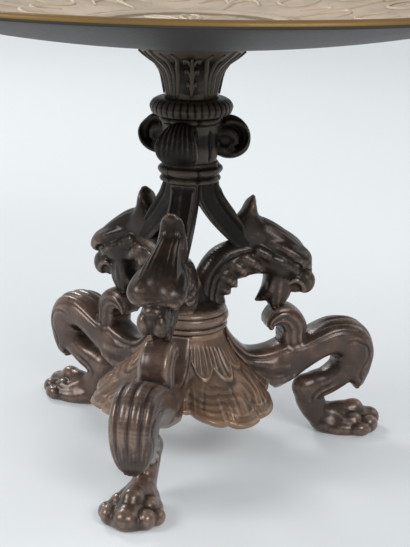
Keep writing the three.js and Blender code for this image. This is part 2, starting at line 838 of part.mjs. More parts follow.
/** The bell: leaves radiate from the hub to a scalloped edge, over a thick crown and three screw bosses. */
function leafBell() {
  const crownFoot = crownHeight - crownThickness;
  const shell = turnedByAngle((fromFront) => {
    const outside = bellOutline(fromFront, true, 0);
    const inside = outside.slice(3).map(([r, z]) => [r - bellWall * 0.75, z - bellWall * 0.65]);
    return [
      [studRadius + gap, crownHeight],
      ...outside,
      ...inside.reverse(),
      [hubNeckRadius - 2, crownFoot],
      [studRadius + gap, crownFoot],
    ];
  }, bellScallops * 3);
  const bosses = legTurns.map((turn) => {
    const from = new THREE.Vector3(screwSeatOffset, 0, screwHeight);
    const to = new THREE.Vector3(screwSeatOffset + screwBossLength, 0, screwHeight);
    return rod(from, to, screwBossRadius).rotate([0, 0, THREE.MathUtils.radToDeg(turn)]);
  });
  const held = joined(...bosses).intersect(bellFilled(-leafRelief - gap));
  return threefold(joined(shell, held), () => screwBore(screwSeatOffset - 1));
}

/** The bore for a leg's screw from x = from outwards, as a tool to cut with. */
function screwBore(from) {
  const start = new THREE.Vector3(from, 0, screwHeight);
  const end = new THREE.Vector3(screwSeatOffset + screwLength + gap, 0, screwHeight);
  return rod(start, end, screwRadius + gap, 8);
}

// The legs

/** The tail of the leg's scroll, which sweeps from the hub down over the bell into the thigh. */
function legTail() {
  const section = rounded(8, 3);
  return limb(
    [
      [hubNeckRadius - 2.2, crownHeight - 0.5, scrollWidth * 0.9, 5],
      [hubNeckRadius - 0.6, crownHeight - 6, scrollWidth * 0.92, 7],
      [hubNeckRadius + 5.4, crownHeight - 13.4, scrollWidth * 0.96, 8.4],
      [scrollEyeOffset - 8, thighHeight - 0.4, scrollWidth, 9.4],
      [thighOffset - 3, thighHeight + 0.6, scrollWidth, 10],
    ],
    5,
    () => section,
  );
}

/** The section of the thigh and the knee's leaf, whose outer face has ribs with flutes between them. */
function kneeSection(share) {
  const sunk = (2 * kneeFluteDepth * Math.sin(Math.PI * share)) / kneeDepth;
  const stops = 2 * kneeFlutes + 1;
  const face = Array.from({ length: stops }, (_, i) => {
    const a = 0.84 * (1 - (2 * i) / (stops - 1));
    return [a, 1 - 0.25 * a ** 4 - (i % 2) * sunk];
  });
  return [[1, -0.4], [1, 0.35], ...face, [-1, 0.35], [-1, -0.4], [-0.66, -1], [0.66, -1]];
}

/** The thigh, which springs from under the bell, bends over the knee and ends in the hanging leaf tip. */
function thigh() {
  const bend = arc(kneeEyeOffset, kneeEyeHeight, kneeBend, Math.PI * 0.68, -Math.PI * 0.12, 5);
  const knee = bend.map(([x, z], i) => [x, z, kneeWidth * (1 - 0.03 * i), kneeDepth * (1 - 0.035 * i)]);
  return limb(
    [
      [rootOffset, rootHeight, rootWidth * 0.72, rootDepth * 0.8],
      [rootOffset + 11, rootHeight - 1, rootWidth * 0.86, rootDepth * 0.94],
      [thighOffset, thighHeight + 1.4, kneeWidth * 0.96, rootDepth * 0.9],
      ...knee,
      [leafTipOffset - 1.4, leafTipHeight + 6, kneeWidth * 0.72, kneeDepth * 0.42],
      [leafTipOffset, leafTipHeight, kneeWidth * 0.4, kneeDepth * 0.16],
    ],
    10,
    kneeSection,
  );
}

/** The C-scroll that rises from the thigh to the beast's chin and curls back under it. */
function chinScroll() {
  const section = rounded(8, 3.2);
  const top = chinHeight - gap;
  const eye = top - scrollDepth / 2 - scrollBend;
  const curl = arc(scrollEyeOffset, eye, scrollBend, 0, Math.PI * 1.02, 5);
  const sized = curl.map(([x, z], i) => [x, z, scrollWidth, scrollDepth * (1 - (0.12 * i * i) / 4)]);
  return limb(
    [
      [thighOffset - 1, thighHeight + 3, scrollWidth, scrollDepth * 1.4],
      [scrollEyeOffset + scrollBend + 0.8, eye - 4.4, scrollWidth, scrollDepth * 1.3],
      ...sized,
      [scrollEyeOffset - scrollBend + 1.5, eye - 2.4, scrollWidth * 0.9, scrollDepth * 0.36],
    ],
    7,
    () => section,
  );
}

/** The shank from inside the knee down to the ankle, with the hock behind it. */
function shank() {
  const section = rounded(8, 2.2);
  const bone = limb(
    [
      [kneeEyeOffset + 8.5, kneeEyeHeight - 6, shankWidth * 1.3, shankDepth * 1.1],
      [kneeEyeOffset + 1, hockHeight + 3.4, shankWidth * 1.15, shankDepth],
      [hockOffset + 3.4, hockHeight - 2.6, shankWidth, shankDepth * 1.06],
      [hockOffset + 3.6, hockHeight - 8, shankWidth * 0.98, shankDepth],
      [heelOffset + 1.6, pawHeight * 0.4, shankWidth * 1.2, shankDepth * 0.95],
      [heelOffset + 7, pawHeight * 0.4, shankWidth * 1.4, pawHeight * 0.8],
    ],
    6,
    () => section,
  );
  const hock = ball([hockOffset - 1.8, 0, hockHeight + 1.6], [5, shankWidth * 0.44, 6], 0.5);
  return joined(bone, hock);
}

/** The paw: a pad, four toes and a heel, flat below. */
function paw() {
  const padBack = heelOffset - 3;
  const padHalf = (toeReach - 4.5 - padBack) / 2;
  const parts = [
    ball([padBack + padHalf, 0, pawHeight * 0.42], [padHalf, pawWidth * 0.37, pawHeight * 0.58], 0.2),
  ];
  for (const side of [-1, 1]) {
    const inner = [toeReach - 8, side * pawWidth * 0.15, toeHeight * 0.46];
    const outer = [toeReach - 11.8, side * (pawWidth * 0.5 - 3.6), toeHeight * 0.42];
    parts.push(ball(inner, [8, pawWidth * 0.165, toeHeight * 0.72], 0.3));
    parts.push(ball(outer, [7.6, 3.6, toeHeight * 0.64], 0.2));
  }
  const ground = new THREE.BoxGeometry(4 * toeReach, 2 * pawWidth, pawHeight);
  return joined(...parts).subtract(solidOf(ground.translate(0, 0, -pawHeight / 2)));
}

/** A leg in one casting: tail, thigh, C-scroll, shank and paw, seated on the bell and screwed from within. */
function leg() {
  const whole = joined(legTail(), thigh(), chinScroll(), shank(), paw());
  const hubClear = post(0, crownHeight - 1, hubTop + 1, hubRadius + gap, ringSegments);
  return whole.subtract(bellFilled(gap)).subtract(hubClear).subtract(screwBore(screwSeatOffset));
}

// Fasteners

/** The stud that draws the stem together, from the stem ring up into the dish's boss. */
function stud() {
  const low = cageTop + blindFloor + gap;
  return post(0, low, dishFoot + dishFloorThickness / 2 - gap, studRadius);
}

/** The bolt that draws the hub ring down on the bell, with a six-sided head. */
function tieBolt() {
  const seat = crownHeight - crownThickness - washerThickness - 2 * gap;
  const shank = post(0, seat - 1, hubTop - blindFloor - gap, studRadius);
  return joined(shank, post(0, seat - boltHeadHeight, seat, boltHeadRadius, 6));
}

/** The washer between the bolt's head and the bell's crown. */
function washer() {
  const top = crownHeight - crownThickness - gap;
  return turned(
    [
      [studRadius + gap, top - washerThickness],
      [washerRadius, top - washerThickness],
      [washerRadius, top],
      [studRadius + gap, top],
    ],
    16,
  );
}

/** A round-headed screw that holds a leg to the bell. */
function legScrew() {
  const at = (x) => new THREE.Vector3(x, 0, screwHeight);
  const head = rod(at(screwSeatOffset - gap - screwHeadHeight), at(screwSeatOffset - gap), screwHeadRadius);
  return joined(rod(at(screwSeatOffset - 1), at(screwSeatOffset + screwLength), screwRadius, 8), head);
}

/** A dowel across the seam at z = seam, standing at x from the axis. */
function dowel(x, seam) {
  return post(x, seam - pinDepth, seam + pinDepth, pinRadius, 6);
}

// Materials

/** One metal finish, as the photo shows it. */
function metal(color, roughness, metalness = 0.9) {
  return new THREE.MeshStandardMaterial({ color, roughness, metalness });
}

const finish = {
  dish: metal(0xb9a078, 0.42),
  stem: metal(0x2b2420, 0.4),
  beast: metal(0x4a3226, 0.38),
  leg: metal(0x5c3a28, 0.36),
  bell: metal(0x6e4b33, 0.45),
  steel: metal(0x6f7072, 0.5),
};

// Assembly

const bowl = new THREE.Group();
bowl.name = "tripod_bowl";

/** Adds a solid as a named mesh, turned about Z. */
function add(name, solid, material, turn = 0) {
  const mesh = new THREE.Mesh(geometryOf(solid.rotate([0, 0, THREE.MathUtils.radToDeg(turn)])), material);
  mesh.name = name;
  bowl.add(mesh);
}

add("dish", dish(), finish.dish);
add("calyx", calyx(), finish.stem);
add("gadroon_collar", collar(), finish.stem);
add("abacus", abacus(), finish.stem);
add("capital", capitalCore(), finish.stem);
add("stem_ring", stemRing(), finish.stem);
add("hub_ring", hubRing(), finish.beast);
add("leaf_bell", leafBell(), finish.bell);
add("stud", stud(), finish.steel);
add("tie_bolt", tieBolt(), finish.steel);
add("washer", washer(), finish.steel);

const repeated = {
  volute: [volute(), finish.stem],
  strut: [strut(), finish.stem],
  beast: [beast(), finish.beast],
  leg: [leg(), finish.leg],
  leg_screw: [legScrew(), finish.steel],
  strut_pin: [dowel(strutTopOffset, cageTop), finish.steel],
  neck_pin: [dowel(neckFootOffset, hubTop), finish.steel],
};
for (const [name, [solid, material]] of Object.entries(repeated)) {
  legTurns.forEach((turn, i) => add(`${name}_${legNames[i]}`, solid, material, turn));
}

export default bowl;
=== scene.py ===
"""A bronze tripod bowl: a wide dish on a fluted stem, carried by three beasts and three pawed legs.

Each casting is a class. Lengths are millimetres while a form is made and metres in the scene.
The legs, beasts, volutes and struts are modelled like clay, as a field that forms are added to
and cut from. Turned parts, copies round the stem and raised veins come from Geometry Nodes.
"""
from __future__ import annotations

import json
import logging
import math
from dataclasses import dataclass, field
from enum import Enum
from typing import Callable, Iterable, Sequence

import bmesh
import bpy
import numpy as np
from mathutils import Matrix, Vector

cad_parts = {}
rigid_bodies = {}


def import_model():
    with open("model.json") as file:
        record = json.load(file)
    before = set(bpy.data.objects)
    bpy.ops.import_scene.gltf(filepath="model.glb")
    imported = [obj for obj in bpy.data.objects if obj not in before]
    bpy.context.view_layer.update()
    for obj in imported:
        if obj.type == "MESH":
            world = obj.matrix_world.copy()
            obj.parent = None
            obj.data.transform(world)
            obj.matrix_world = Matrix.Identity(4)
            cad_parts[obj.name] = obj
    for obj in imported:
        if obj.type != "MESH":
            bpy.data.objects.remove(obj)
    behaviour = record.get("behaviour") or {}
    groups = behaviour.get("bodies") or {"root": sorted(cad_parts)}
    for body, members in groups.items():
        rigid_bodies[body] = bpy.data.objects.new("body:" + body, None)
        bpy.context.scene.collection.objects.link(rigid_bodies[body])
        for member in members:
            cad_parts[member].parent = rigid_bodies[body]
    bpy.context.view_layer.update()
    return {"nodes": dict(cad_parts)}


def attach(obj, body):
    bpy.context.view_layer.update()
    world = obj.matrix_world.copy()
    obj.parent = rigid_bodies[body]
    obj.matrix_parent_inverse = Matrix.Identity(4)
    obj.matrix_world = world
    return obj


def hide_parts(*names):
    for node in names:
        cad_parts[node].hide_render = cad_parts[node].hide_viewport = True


LOG = logging.getLogger("tripod_bowl")
MM = 0.001
FAR = 9.0
BODY = "root"
WEAR = "wear"
GIRTH = "girth"
WEIGHT = "weight"
THIRD_SLOPE = 0.866
THIRD_GAP = 0.12
COAT_ROUGHNESS = 0.26
BUMP_DEPTH = 0.4 * MM
Array = np.ndarray
Stations = Sequence[Sequence[float]]


class Bearing(Enum):
    """The three directions round the stem, in degrees from the x axis."""

    FRONT = -90.0
    RIGHT = 30.0
    LEFT = 150.0

    @property
    def label(self) -> str:
        """The end of a node's name in this direction."""
        return self.name.lower()


# Shapes and clay


@dataclass
class Shape:
    """Points and four-sided faces, in millimetres."""

    points: Array
    faces: Array

    def turned(self, degrees: float) -> Shape:
        """Turns a copy round the stem.

        Args:
            degrees: The angle about z.

        Returns:
            The turned copy.
        """
        c, s = math.cos(math.radians(degrees)), math.sin(math.radians(degrees))
        x, y, z = self.points.T
        return Shape(np.column_stack((c * x - s * y, s * x + c * y, z)), self.faces)

    def with_shape(self, other: Shape) -> Shape:
        """Puts another shape beside this one, in one mesh."""
        faces = np.vstack((self.faces, other.faces + len(self.points)))
        return Shape(np.vstack((self.points, other.points)), faces)


def smooth_run(stations: Stations, per_span: int = 6) -> Array:
    """Runs a smooth curve through stations.

    Args:
        stations: Rows of numbers, of which any column may be a size.
        per_span: Points made for each span.

    Returns:
        The rows of the curve.
    """
    rows = np.asarray(stations, float)
    padded = np.vstack((2 * rows[0] - rows[1], rows, 2 * rows[-1] - rows[-2]))
    out = []
    for a, b, c, d in zip(padded, padded[1:], padded[2:], padded[3:]):
        for t in np.arange(per_span) / per_span:
            out.append(0.5 * (2 * b + (c - a) * t + (2 * a - 5 * b + 4 * c - d) * t * t
                              + (3 * b - a - 3 * c + d) * t**3))
    return np.vstack((out, rows[-1]))


def ramp(value: Array, low: float, high: float) -> Array:
    """Rises smoothly from 0 at low to 1 at high."""
    t = np.clip((value - low) / (high - low), 0, 1)
    return t * t * (3 - 2 * t)


def groove(value: Array, at: float, width: float) -> Array:
    """A rounded notch: 1 at the place, and near 0 a width away."""
    return np.exp(-(((value - at) / width) ** 2))


@dataclass(frozen=True)
class Ball:
    """An egg with three radii, tilted by turn degrees in the middle plane."""

    centre: Sequence[float]
    radii: Sequence[float]
    turn: float = 0.0

    def bounds(self) -> tuple[Array, Array]:
        """The lowest and highest corners."""
        reach = max(self.radii)
        return np.array(self.centre) - reach, np.array(self.centre) + reach

    def distance(self, x: Array, y: Array, z: Array) -> Array:
        """How far a point is outside."""
        c, s = math.cos(math.radians(self.turn)), math.sin(math.radians(self.turn))
        dx, dy, dz = x - self.centre[0], y - self.centre[1], z - self.centre[2]
        p = [(c * dx + s * dz) / self.radii[0], dy / self.radii[1], (c * dz - s * dx) / self.radii[2]]
        k = np.sqrt(sum(v * v for v in p))
        slope = np.sqrt(sum((v / r) ** 2 for v, r in zip(p, self.radii)))
        return k * (k - 1) / np.maximum(slope, 1e-6)


@dataclass(frozen=True)
class Strand:
    """A rounded strand on a smooth curve through stations of x, y, z and radius."""

    stations: Stations

    def bounds(self) -> tuple[Array, Array]:
        """The lowest and highest corners."""
        rows = smooth_run(self.stations, 3)
        return (rows[:, :3] - rows[:, 3:]).min(0), (rows[:, :3] + rows[:, 3:]).max(0)

    def distance(self, x: Array, y: Array, z: Array) -> Array:
        """How far a point is outside."""
        rows = smooth_run(self.stations, 3)
        best = np.full(np.broadcast_shapes(x.shape, y.shape, z.shape), FAR, np.float32)
        for a, b in zip(rows, rows[1:]):
            run = b[:3] - a[:3]
            t = ((x - a[0]) * run[0] + (y - a[1]) * run[1] + (z - a[2]) * run[2]) / (run @ run + 1e-9)
            t = np.clip(t, 0, 1)
            apart = (x - a[0] - t * run[0]) ** 2 + (y - a[1] - t * run[1]) ** 2 + (z - a[2] - t * run[2]) ** 2
            best = np.minimum(best, np.sqrt(apart) - a[3] - t * (b[3] - a[3]))
        return best


@dataclass(frozen=True)
class Band:
    """A band that follows a path in the middle plane.

    Each station is x, z, the half depth to the left and to the right of the path, and the half
    width. The relief takes the share of the run, the place across (1 at the edge) and the place
    through (1 at the left face, -1 at the right), and gives the depth to cut.
    """

    stations: Stations
    power: float = 2.6
    relief: Callable[[Array, Array, Array], Array] | None = None

    def bounds(self) -> tuple[Array, Array]:
        """The lowest and highest corners."""
        rows = smooth_run(self.stations)
        deep = rows[:, 2:4].max() + 1
        wide = rows[:, 4].max() + 1
        low, high = rows[:, :2].min(0) - deep, rows[:, :2].max(0) + deep
        return np.array((low[0], -wide, low[1])), np.array((high[0], wide, high[1]))

    def distance(self, x: Array, y: Array, z: Array) -> Array:
        """How far a point is outside."""
        rows = smooth_run(self.stations)
        shape = np.broadcast_shapes(x.shape, z.shape)
        best, along, side = np.full(shape, 1e9), np.zeros(shape), np.zeros(shape)
        for i, (a, b) in enumerate(zip(rows, rows[1:])):
            run = b[:2] - a[:2]
            t = np.clip(((x - a[0]) * run[0] + (z - a[1]) * run[1]) / (run @ run + 1e-9), 0, 1)
            apart = (x - a[0] - t * run[0]) ** 2 + (z - a[1] - t * run[1]) ** 2
            nearer = apart < best
            best = np.where(nearer, apart, best)
            along = np.where(nearer, i + t, along)
            side = np.where(nearer, run[0] * (z - a[1]) - run[1] * (x - a[0]), side)
        size = [np.interp(along, np.arange(len(rows)), rows[:, j]) for j in (2, 3, 4)]
        deep = np.where(side > 0, size[0], size[1])
        across, through = y / size[2], np.sqrt(best) * np.sign(side) / deep
        fullness = (np.abs(across) ** self.power + np.abs(through) ** self.power) ** (1 / self.power)
        out = (fullness - 1) * np.minimum(deep, size[2])
        if self.relief:
            out = out + self.relief(along / (len(rows) - 1), across, through)
        return out


Form = Ball | Strand | Band


def blended(a: Array, b: Array, blend: float) -> Array:
    """The smaller of two fields, with a fillet of about the blend where they meet."""
    h = np.clip(0.5 + 0.5 * (b - a) / blend, 0, 1)
    return b + (a - b) * h - blend * h * (1 - h)


@dataclass
class Clay:
    """A block that is alike on both sides of its middle plane; its field is below 0 inside.

    x points away from the stem, y to the side and z up.
    """

    low: tuple[float, float]
    high: tuple[float, float, float]
    step: float
    axes: list[Array] = field(init=False)
    body: Array = field(init=False)

    def __post_init__(self) -> None:
        """Lays out the grid."""
        starts = (self.low[0], 0.0, self.low[1])
        self.axes = [np.arange(a, b, self.step) for a, b in zip(starts, self.high)]
        self.body = np.full([len(a) for a in self.axes], FAR, np.float32)

    def place(self, form: Form, margin: float) -> tuple[tuple[slice, ...], Array]:
        """Measures a form on the part of the grid that it can change.

        Args:
            form: What to measure.
            margin: How far its blend reaches.

        Returns:
            The part of the grid, and the form's distances there.
        """
        low, high = form.bounds()
        part = tuple(slice(*np.searchsorted(axis, (a - margin, b + margin)))
                     for axis, a, b in zip(self.axes, low, high))
        x, y, z = (axis[cut] for axis, cut in zip(self.axes, part))
        return part, form.distance(x[:, None, None], y[None, :, None], z[None, None, :])

    def add(self, *forms: Form, blend: float = 1.0) -> Clay:
        """Joins forms on, with a fillet."""
        for form in forms:
            part, theirs = self.place(form, blend)
            self.body[part] = blended(self.body[part], theirs, blend)
        return self

    def cut(self, *forms: Form, blend: float = 0.6) -> Clay:
        """Cuts forms out, with a rounded edge."""
        for form in forms:
            part, theirs = self.place(form, blend)
            self.body[part] = -blended(-self.body[part], theirs, blend)
        return self

    def keep(self, allowed: Callable[[Array, Array, Array], Array]) -> Clay:
        """Keeps only the space where a function of x, y and z is below 0."""
        x, y, z = self.axes
        limit = allowed(x[:, None, None], y[None, :, None], z[None, None, :])
        self.body = np.maximum(self.body, limit).astype(np.float32)
        return self

    def cast(self) -> Shape:
        """Draws the surface of the clay as a closed mesh of four-sided faces.

        Returns:
            The shape, whose points lie between the grid's crossings.
        """
        full = np.concatenate((self.body[:, :0:-1], self.body), axis=1)
        full = np.pad(full, 1, constant_values=FAR)
        cells = np.array(full.shape) - 1
        owners, places, quads = [], [], []
        for axis in range(3):
            a, b = np.moveaxis(full, axis, 0)[:-1], np.moveaxis(full, axis, 0)[1:]
            found = np.argwhere((a < 0) != (b < 0))
            start, end = a[tuple(found.T)], b[tuple(found.T)]
            at = np.insert(found[:, 1:], axis, found[:, 0], axis=1)
            place = at.astype(float)
            place[:, axis] += start / (start - end)
            u, v = (axis + 1) % 3, (axis + 2) % 3
            ring = []
            for du, dv in ((0, 0), (1, 0), (1, 1), (0, 1)):
                cell = at.copy()
                cell[:, u] -= du
                cell[:, v] -= dv
                ring.append(np.ravel_multi_index(cell.T, cells))
                owners.append(ring[-1])
                places.append(place)
            quad = np.column_stack(ring)
            quad[start < 0] = quad[start < 0][:, ::-1]
            quads.append(quad[:, ::-1])
        owner, place, quad = np.concatenate(owners), np.vstack(places), np.vstack(quads)
        used, index = np.unique(owner, return_inverse=True)
        count = np.bincount(index)
        points = np.column_stack([np.bincount(index, place[:, k]) / count for k in range(3)]) - 1
        origin = np.array((self.axes[0][0], -self.axes[1][-1], self.axes[2][0]))
        return Shape(points * self.step + origin, np.searchsorted(used, quad))


# Node trees


class Wire:
    """One output in a node tree, used in plain arithmetic."""

    def __init__(self, tree: bpy.types.NodeTree, socket: bpy.types.NodeSocket) -> None:
        """Holds the output and the tree that it is in."""
        self.tree, self.socket = tree, socket

    def maths(self, operation: str, *others: Wire | float) -> Wire:
        """Adds a Math node.

        Args:
            operation: The node's operation.
            others: Its other inputs.

        Returns:
            The node's output.
        """
        node = self.tree.nodes.new("ShaderNodeMath")
        node.operation = operation
        for place, value in enumerate((self, *others)):
            feed(self.tree, node.inputs[place], value)
        return Wire(self.tree, node.outputs[0])

    def __add__(self, other: Wire | float) -> Wire:
        """The sum."""
        return self.maths("ADD", other)

    def __sub__(self, other: Wire | float) -> Wire:
        """The difference."""
        return self.maths("SUBTRACT", other)

    def __mul__(self, other: Wire | float) -> Wire:
        """The product."""
        return self.maths("MULTIPLY", other)

    def __truediv__(self, other: Wire | float) -> Wire:
        """The quotient."""
        return self.maths("DIVIDE", other)

    def between(self, low: float, high: float) -> Wire:
        """Rises smoothly from 0 at low to 1 at high."""
        node = self.tree.nodes.new("ShaderNodeMapRange")
        node.interpolation_type = "SMOOTHSTEP"
        feed(self.tree, node.inputs["Value"], self)
        feed(self.tree, node.inputs["From Min"], low)
        feed(self.tree, node.inputs["From Max"], high)
        return Wire(self.tree, node.outputs["Result"])


def feed(tree: bpy.types.NodeTree, socket: bpy.types.NodeSocket, value: object) -> None:
    """Links a wire to a socket, or sets the socket to a plain value."""
    if isinstance(value, Wire):
        tree.links.new(value.socket, socket)
    else:
        socket.default_value = value


def node(tree: bpy.types.NodeTree, kind: str, out: int | str = 0, settings: dict | None = None,
         **inputs: object) -> Wire:
    """Adds a node and feeds it.

    Args:
        tree: The tree to add to.
        kind: The node's type.
        out: The output wanted, by name or place.
        settings: The node's own properties.
        inputs: Its inputs, by name with underscores for spaces.

    Returns:
        The output.
    """
    made = tree.nodes.new(kind)
    for key, value in (settings or {}).items():
        setattr(made, key, value)
    for key, value in inputs.items():
        feed(tree, made.inputs[key.replace("_", " ")], value)
    return Wire(tree, made.outputs[out])


def new_tree(name: str, kind: str, ins: dict[str, str], outs: dict[str, str]) -> tuple:
    """Makes an empty node group.

    Args:
        name: The group's name.
        kind: The tree's type.
        ins: Input names and the ends of their socket types.
        outs: Output names and the ends of their socket types.

    Returns:
        The tree, a dictionary of input wires, and the output node.
    """
    tree = bpy.data.node_groups.new(name, kind)
    for direction, sockets in (("INPUT", ins), ("OUTPUT", outs)):
        for label, end in sockets.items():
            tree.interface.new_socket(label, in_out=direction, socket_type="NodeSocket" + end)
    source = tree.nodes.new("NodeGroupInput")
    sink = tree.nodes.new("NodeGroupOutput")
    return tree, {label: Wire(tree, source.outputs[label]) for label in ins}, sink


def close_tree(tree: bpy.types.NodeTree, mesh: Wire, material: Wire, sink: bpy.types.Node) -> None:
    """Ends a geometry tree in Realize Instances, smooth shading and Set Material."""
    real = node(tree, "GeometryNodeRealizeInstances", Geometry=mesh)
    smooth = node(tree, "GeometryNodeSetShadeSmooth", Geometry=real)
    last = node(tree, "GeometryNodeSetMaterial", Geometry=smooth, Material=material)
    feed(tree, sink.inputs[0], last)


def turning_tree() -> bpy.types.NodeTree:
    """The tree that wraps a flat wall of (angle, radius, height) round the stem, with lobes.

    Returns:
        The tree. Its inputs are the number of lobes, their depth, how sharp the gaps between
        them are, the angle of the first and the material.
    """
    ins = {"Wall": "Geometry", "Lobes": "Int", "Depth": "Float", "Sharpness": "Float", "First": "Float",
           "Material": "Material"}
    tree, given, sink = new_tree("turning", "GeometryNodeTree", ins, {"Wall": "Geometry"})
    place = node(tree, "GeometryNodeInputPosition")
    parts = tree.nodes.new("ShaderNodeSeparateXYZ")
    feed(tree, parts.inputs[0], place)
    angle, radius, height = (Wire(tree, out) for out in parts.outputs)
    weight = node(tree, "GeometryNodeInputNamedAttribute", settings={"data_type": "FLOAT"}, Name=WEIGHT)
    wave = ((angle - given["First"]) * given["Lobes"] * 0.5).maths("COSINE").maths("ABSOLUTE")
    lobe = wave.maths("POWER", given["Sharpness"]) - 1.0
    radius = radius + lobe * weight * given["Depth"]
    wrapped = node(tree, "ShaderNodeCombineXYZ", X=radius * angle.maths("COSINE"),
                   Y=radius * angle.maths("SINE"), Z=height)
    moved = node(tree, "GeometryNodeSetPosition", Geometry=given["Wall"], Position=wrapped)
    merged = node(tree, "GeometryNodeMergeByDistance", Geometry=moved, Distance=1e-5)
    close_tree(tree, merged, given["Material"], sink)
    return tree


def vein_tree() -> bpy.types.NodeTree:
    """The tree that lays a bead along each line, copied round the stem.

    Returns:
        The tree. A line's attribute gives the bead's radius, and the inputs are the number of
        copies, the sides of the bead, the angle of the first copy and the material.
    """
    ins = {"Lines": "Geometry", "Copies": "Int", "Sides": "Int", "First": "Float", "Material": "Material"}
    tree, given, sink = new_tree("veins", "GeometryNodeTree", ins, {"Veins": "Geometry"})
    girth = node(tree, "GeometryNodeInputNamedAttribute", settings={"data_type": "FLOAT"}, Name=GIRTH)
    lines = node(tree, "GeometryNodeMeshToCurve", Mesh=given["Lines"])
    ring = node(tree, "GeometryNodeCurvePrimitiveCircle", Resolution=given["Sides"], Radius=1.0)
    beads = node(tree, "GeometryNodeCurveToMesh", Curve=lines, Profile_Curve=ring, Scale=girth,
                 Fill_Caps=True)
    close_tree(tree, copies_round(tree, beads, given), given["Material"], sink)
    return tree


def copies_round(tree: bpy.types.NodeTree, motif: Wire, given: dict[str, Wire]) -> Wire:
    """Places copies of a motif round the stem, inside a geometry tree."""
    points = node(tree, "GeometryNodePoints", Count=given["Copies"])
    index = node(tree, "GeometryNodeInputIndex")
    angle = index * (2 * math.pi) / given["Copies"] + given["First"]
    turn = node(tree, "ShaderNodeCombineXYZ", Z=angle)
    return node(tree, "GeometryNodeInstanceOnPoints", Points=points, Instance=motif, Rotation=turn)


def copies_tree() -> bpy.types.NodeTree:
    """The tree that repeats a motif round the stem, such as a screw boss."""
    ins = {"Motif": "Geometry", "Copies": "Int", "First": "Float", "Material": "Material"}
    tree, given, sink = new_tree("copies", "GeometryNodeTree", ins, {"Copies": "Geometry"})
    close_tree(tree, copies_round(tree, given["Motif"], given), given["Material"], sink)
    return tree


# Finishes


def patina_group() -> bpy.types.NodeTree:
    """The shader group that ages bronze: grime in hollows, warm metal where hands rub, and mottling.

    Returns:
        The group, which gives a colour, a roughness and a height for the bump.
    """
    ins = {"Body": "Color", "Cast": "Color", "Hollow": "Color", "Worn": "Color", "Wear": "Float",
           "Patch": "Float", "Gloss": "Float"}
    outs = {"Color": "Color", "Roughness": "Float", "Height": "Float"}
    tree, given, sink = new_tree("patina", "ShaderNodeTree", ins, outs)
    relief = node(tree, "ShaderNodeAttribute", "Fac", {"attribute_name": WEAR})
    where = node(tree, "ShaderNodeTexCoord", "Object")
    patch = node(tree, "ShaderNodeTexNoise", 0, Vector=where, Scale=given["Patch"], Detail=5.0, Roughness=0.6)
    fine = node(tree, "ShaderNodeTexNoise", 0, Vector=where, Scale=620.0, Detail=4.0, Roughness=0.65)
    pits = node(tree, "ShaderNodeTexNoise", 0, Vector=where, Scale=210.0, Detail=3.0)

    def mix(share: Wire, a: Wire, b: Wire) -> Wire:
        """Mixes two colours by a share."""
        made = tree.nodes.new("ShaderNodeMix")
        made.data_type = "RGBA"
        for socket, value in ((made.inputs[0], share), (made.inputs[6], a), (made.inputs[7], b)):
            feed(tree, socket, value)
        return Wire(tree, made.outputs[2])

    broken = relief + (fine - 0.5) * 0.35 + (patch - 0.5) * 0.5
    worn = broken.between(0.56, 0.86) * given["Wear"]
    grime = (relief + (pits - 0.5) * 0.3).between(0.46, 0.16)
    tone = mix(patch.between(0.38, 0.66), given["Body"], given["Cast"])
    rubbed = mix(worn, tone, given["Worn"])
    done = mix(grime * 0.85, rubbed, given["Hollow"])
    rough = given["Gloss"] + grime * 0.3 - worn * 0.1 + (fine - 0.5) * 0.22 + (patch - 0.5) * 0.16
    height = fine * 0.35 + pits * 0.65
    for label, value in (("Color", done), ("Roughness", rough), ("Height", height)):
        feed(tree, sink.inputs[label], value)
    return tree


@dataclass(frozen=True)
class Bronze:
    """A patinated bronze: its colours are linear red, green and blue."""

    name: str
    body: tuple[float, float, float]
    cast: tuple[float, float, float]
    hollow: tuple[float, float, float]
    worn: tuple[float, float, float]
    wear: float = 0.8
    patch: float = 55.0
    gloss: float = 0.36
    metallic: float = 0.62
    coat: float = 0.25
    bump: float = 0.16
    shine: float = 0.5

    def material(self, group: bpy.types.NodeTree) -> bpy.types.Material:
        """Builds the material.

        Args:
            group: The shared ageing group.

        Returns:
            The material, whose shader's plain numbers are set on the shader itself.
        """
        made = bpy.data.materials.new(self.name)
        made.use_nodes = True
        tree = made.node_tree
        shader = tree.nodes["Principled BSDF"]
        aged = tree.nodes.new("ShaderNodeGroup")
        aged.node_tree = group
        for label in ("Body", "Cast", "Hollow", "Worn"):
            aged.inputs[label].default_value = (*getattr(self, label.lower()), 1.0)
        for label in ("Wear", "Patch", "Gloss"):
            aged.inputs[label].default_value = getattr(self, label.lower())
        bump = tree.nodes.new("ShaderNodeBump")
        bump.inputs["Strength"].default_value = self.bump
        bump.inputs["Distance"].default_value = BUMP_DEPTH
        tree.links.new(aged.outputs["Height"], bump.inputs["Height"])
        tree.links.new(aged.outputs["Color"], shader.inputs["Base Color"])
        tree.links.new(aged.outputs["Roughness"], shader.inputs["Roughness"])
        tree.links.new(bump.outputs["Normal"], shader.inputs["Normal"])
        for label, value in (("Metallic", self.metallic), ("Coat Weight", self.coat),
                             ("Coat Roughness", COAT_ROUGHNESS), ("Specular IOR Level", self.shine)):
            shader.inputs[label].default_value = value
        return made


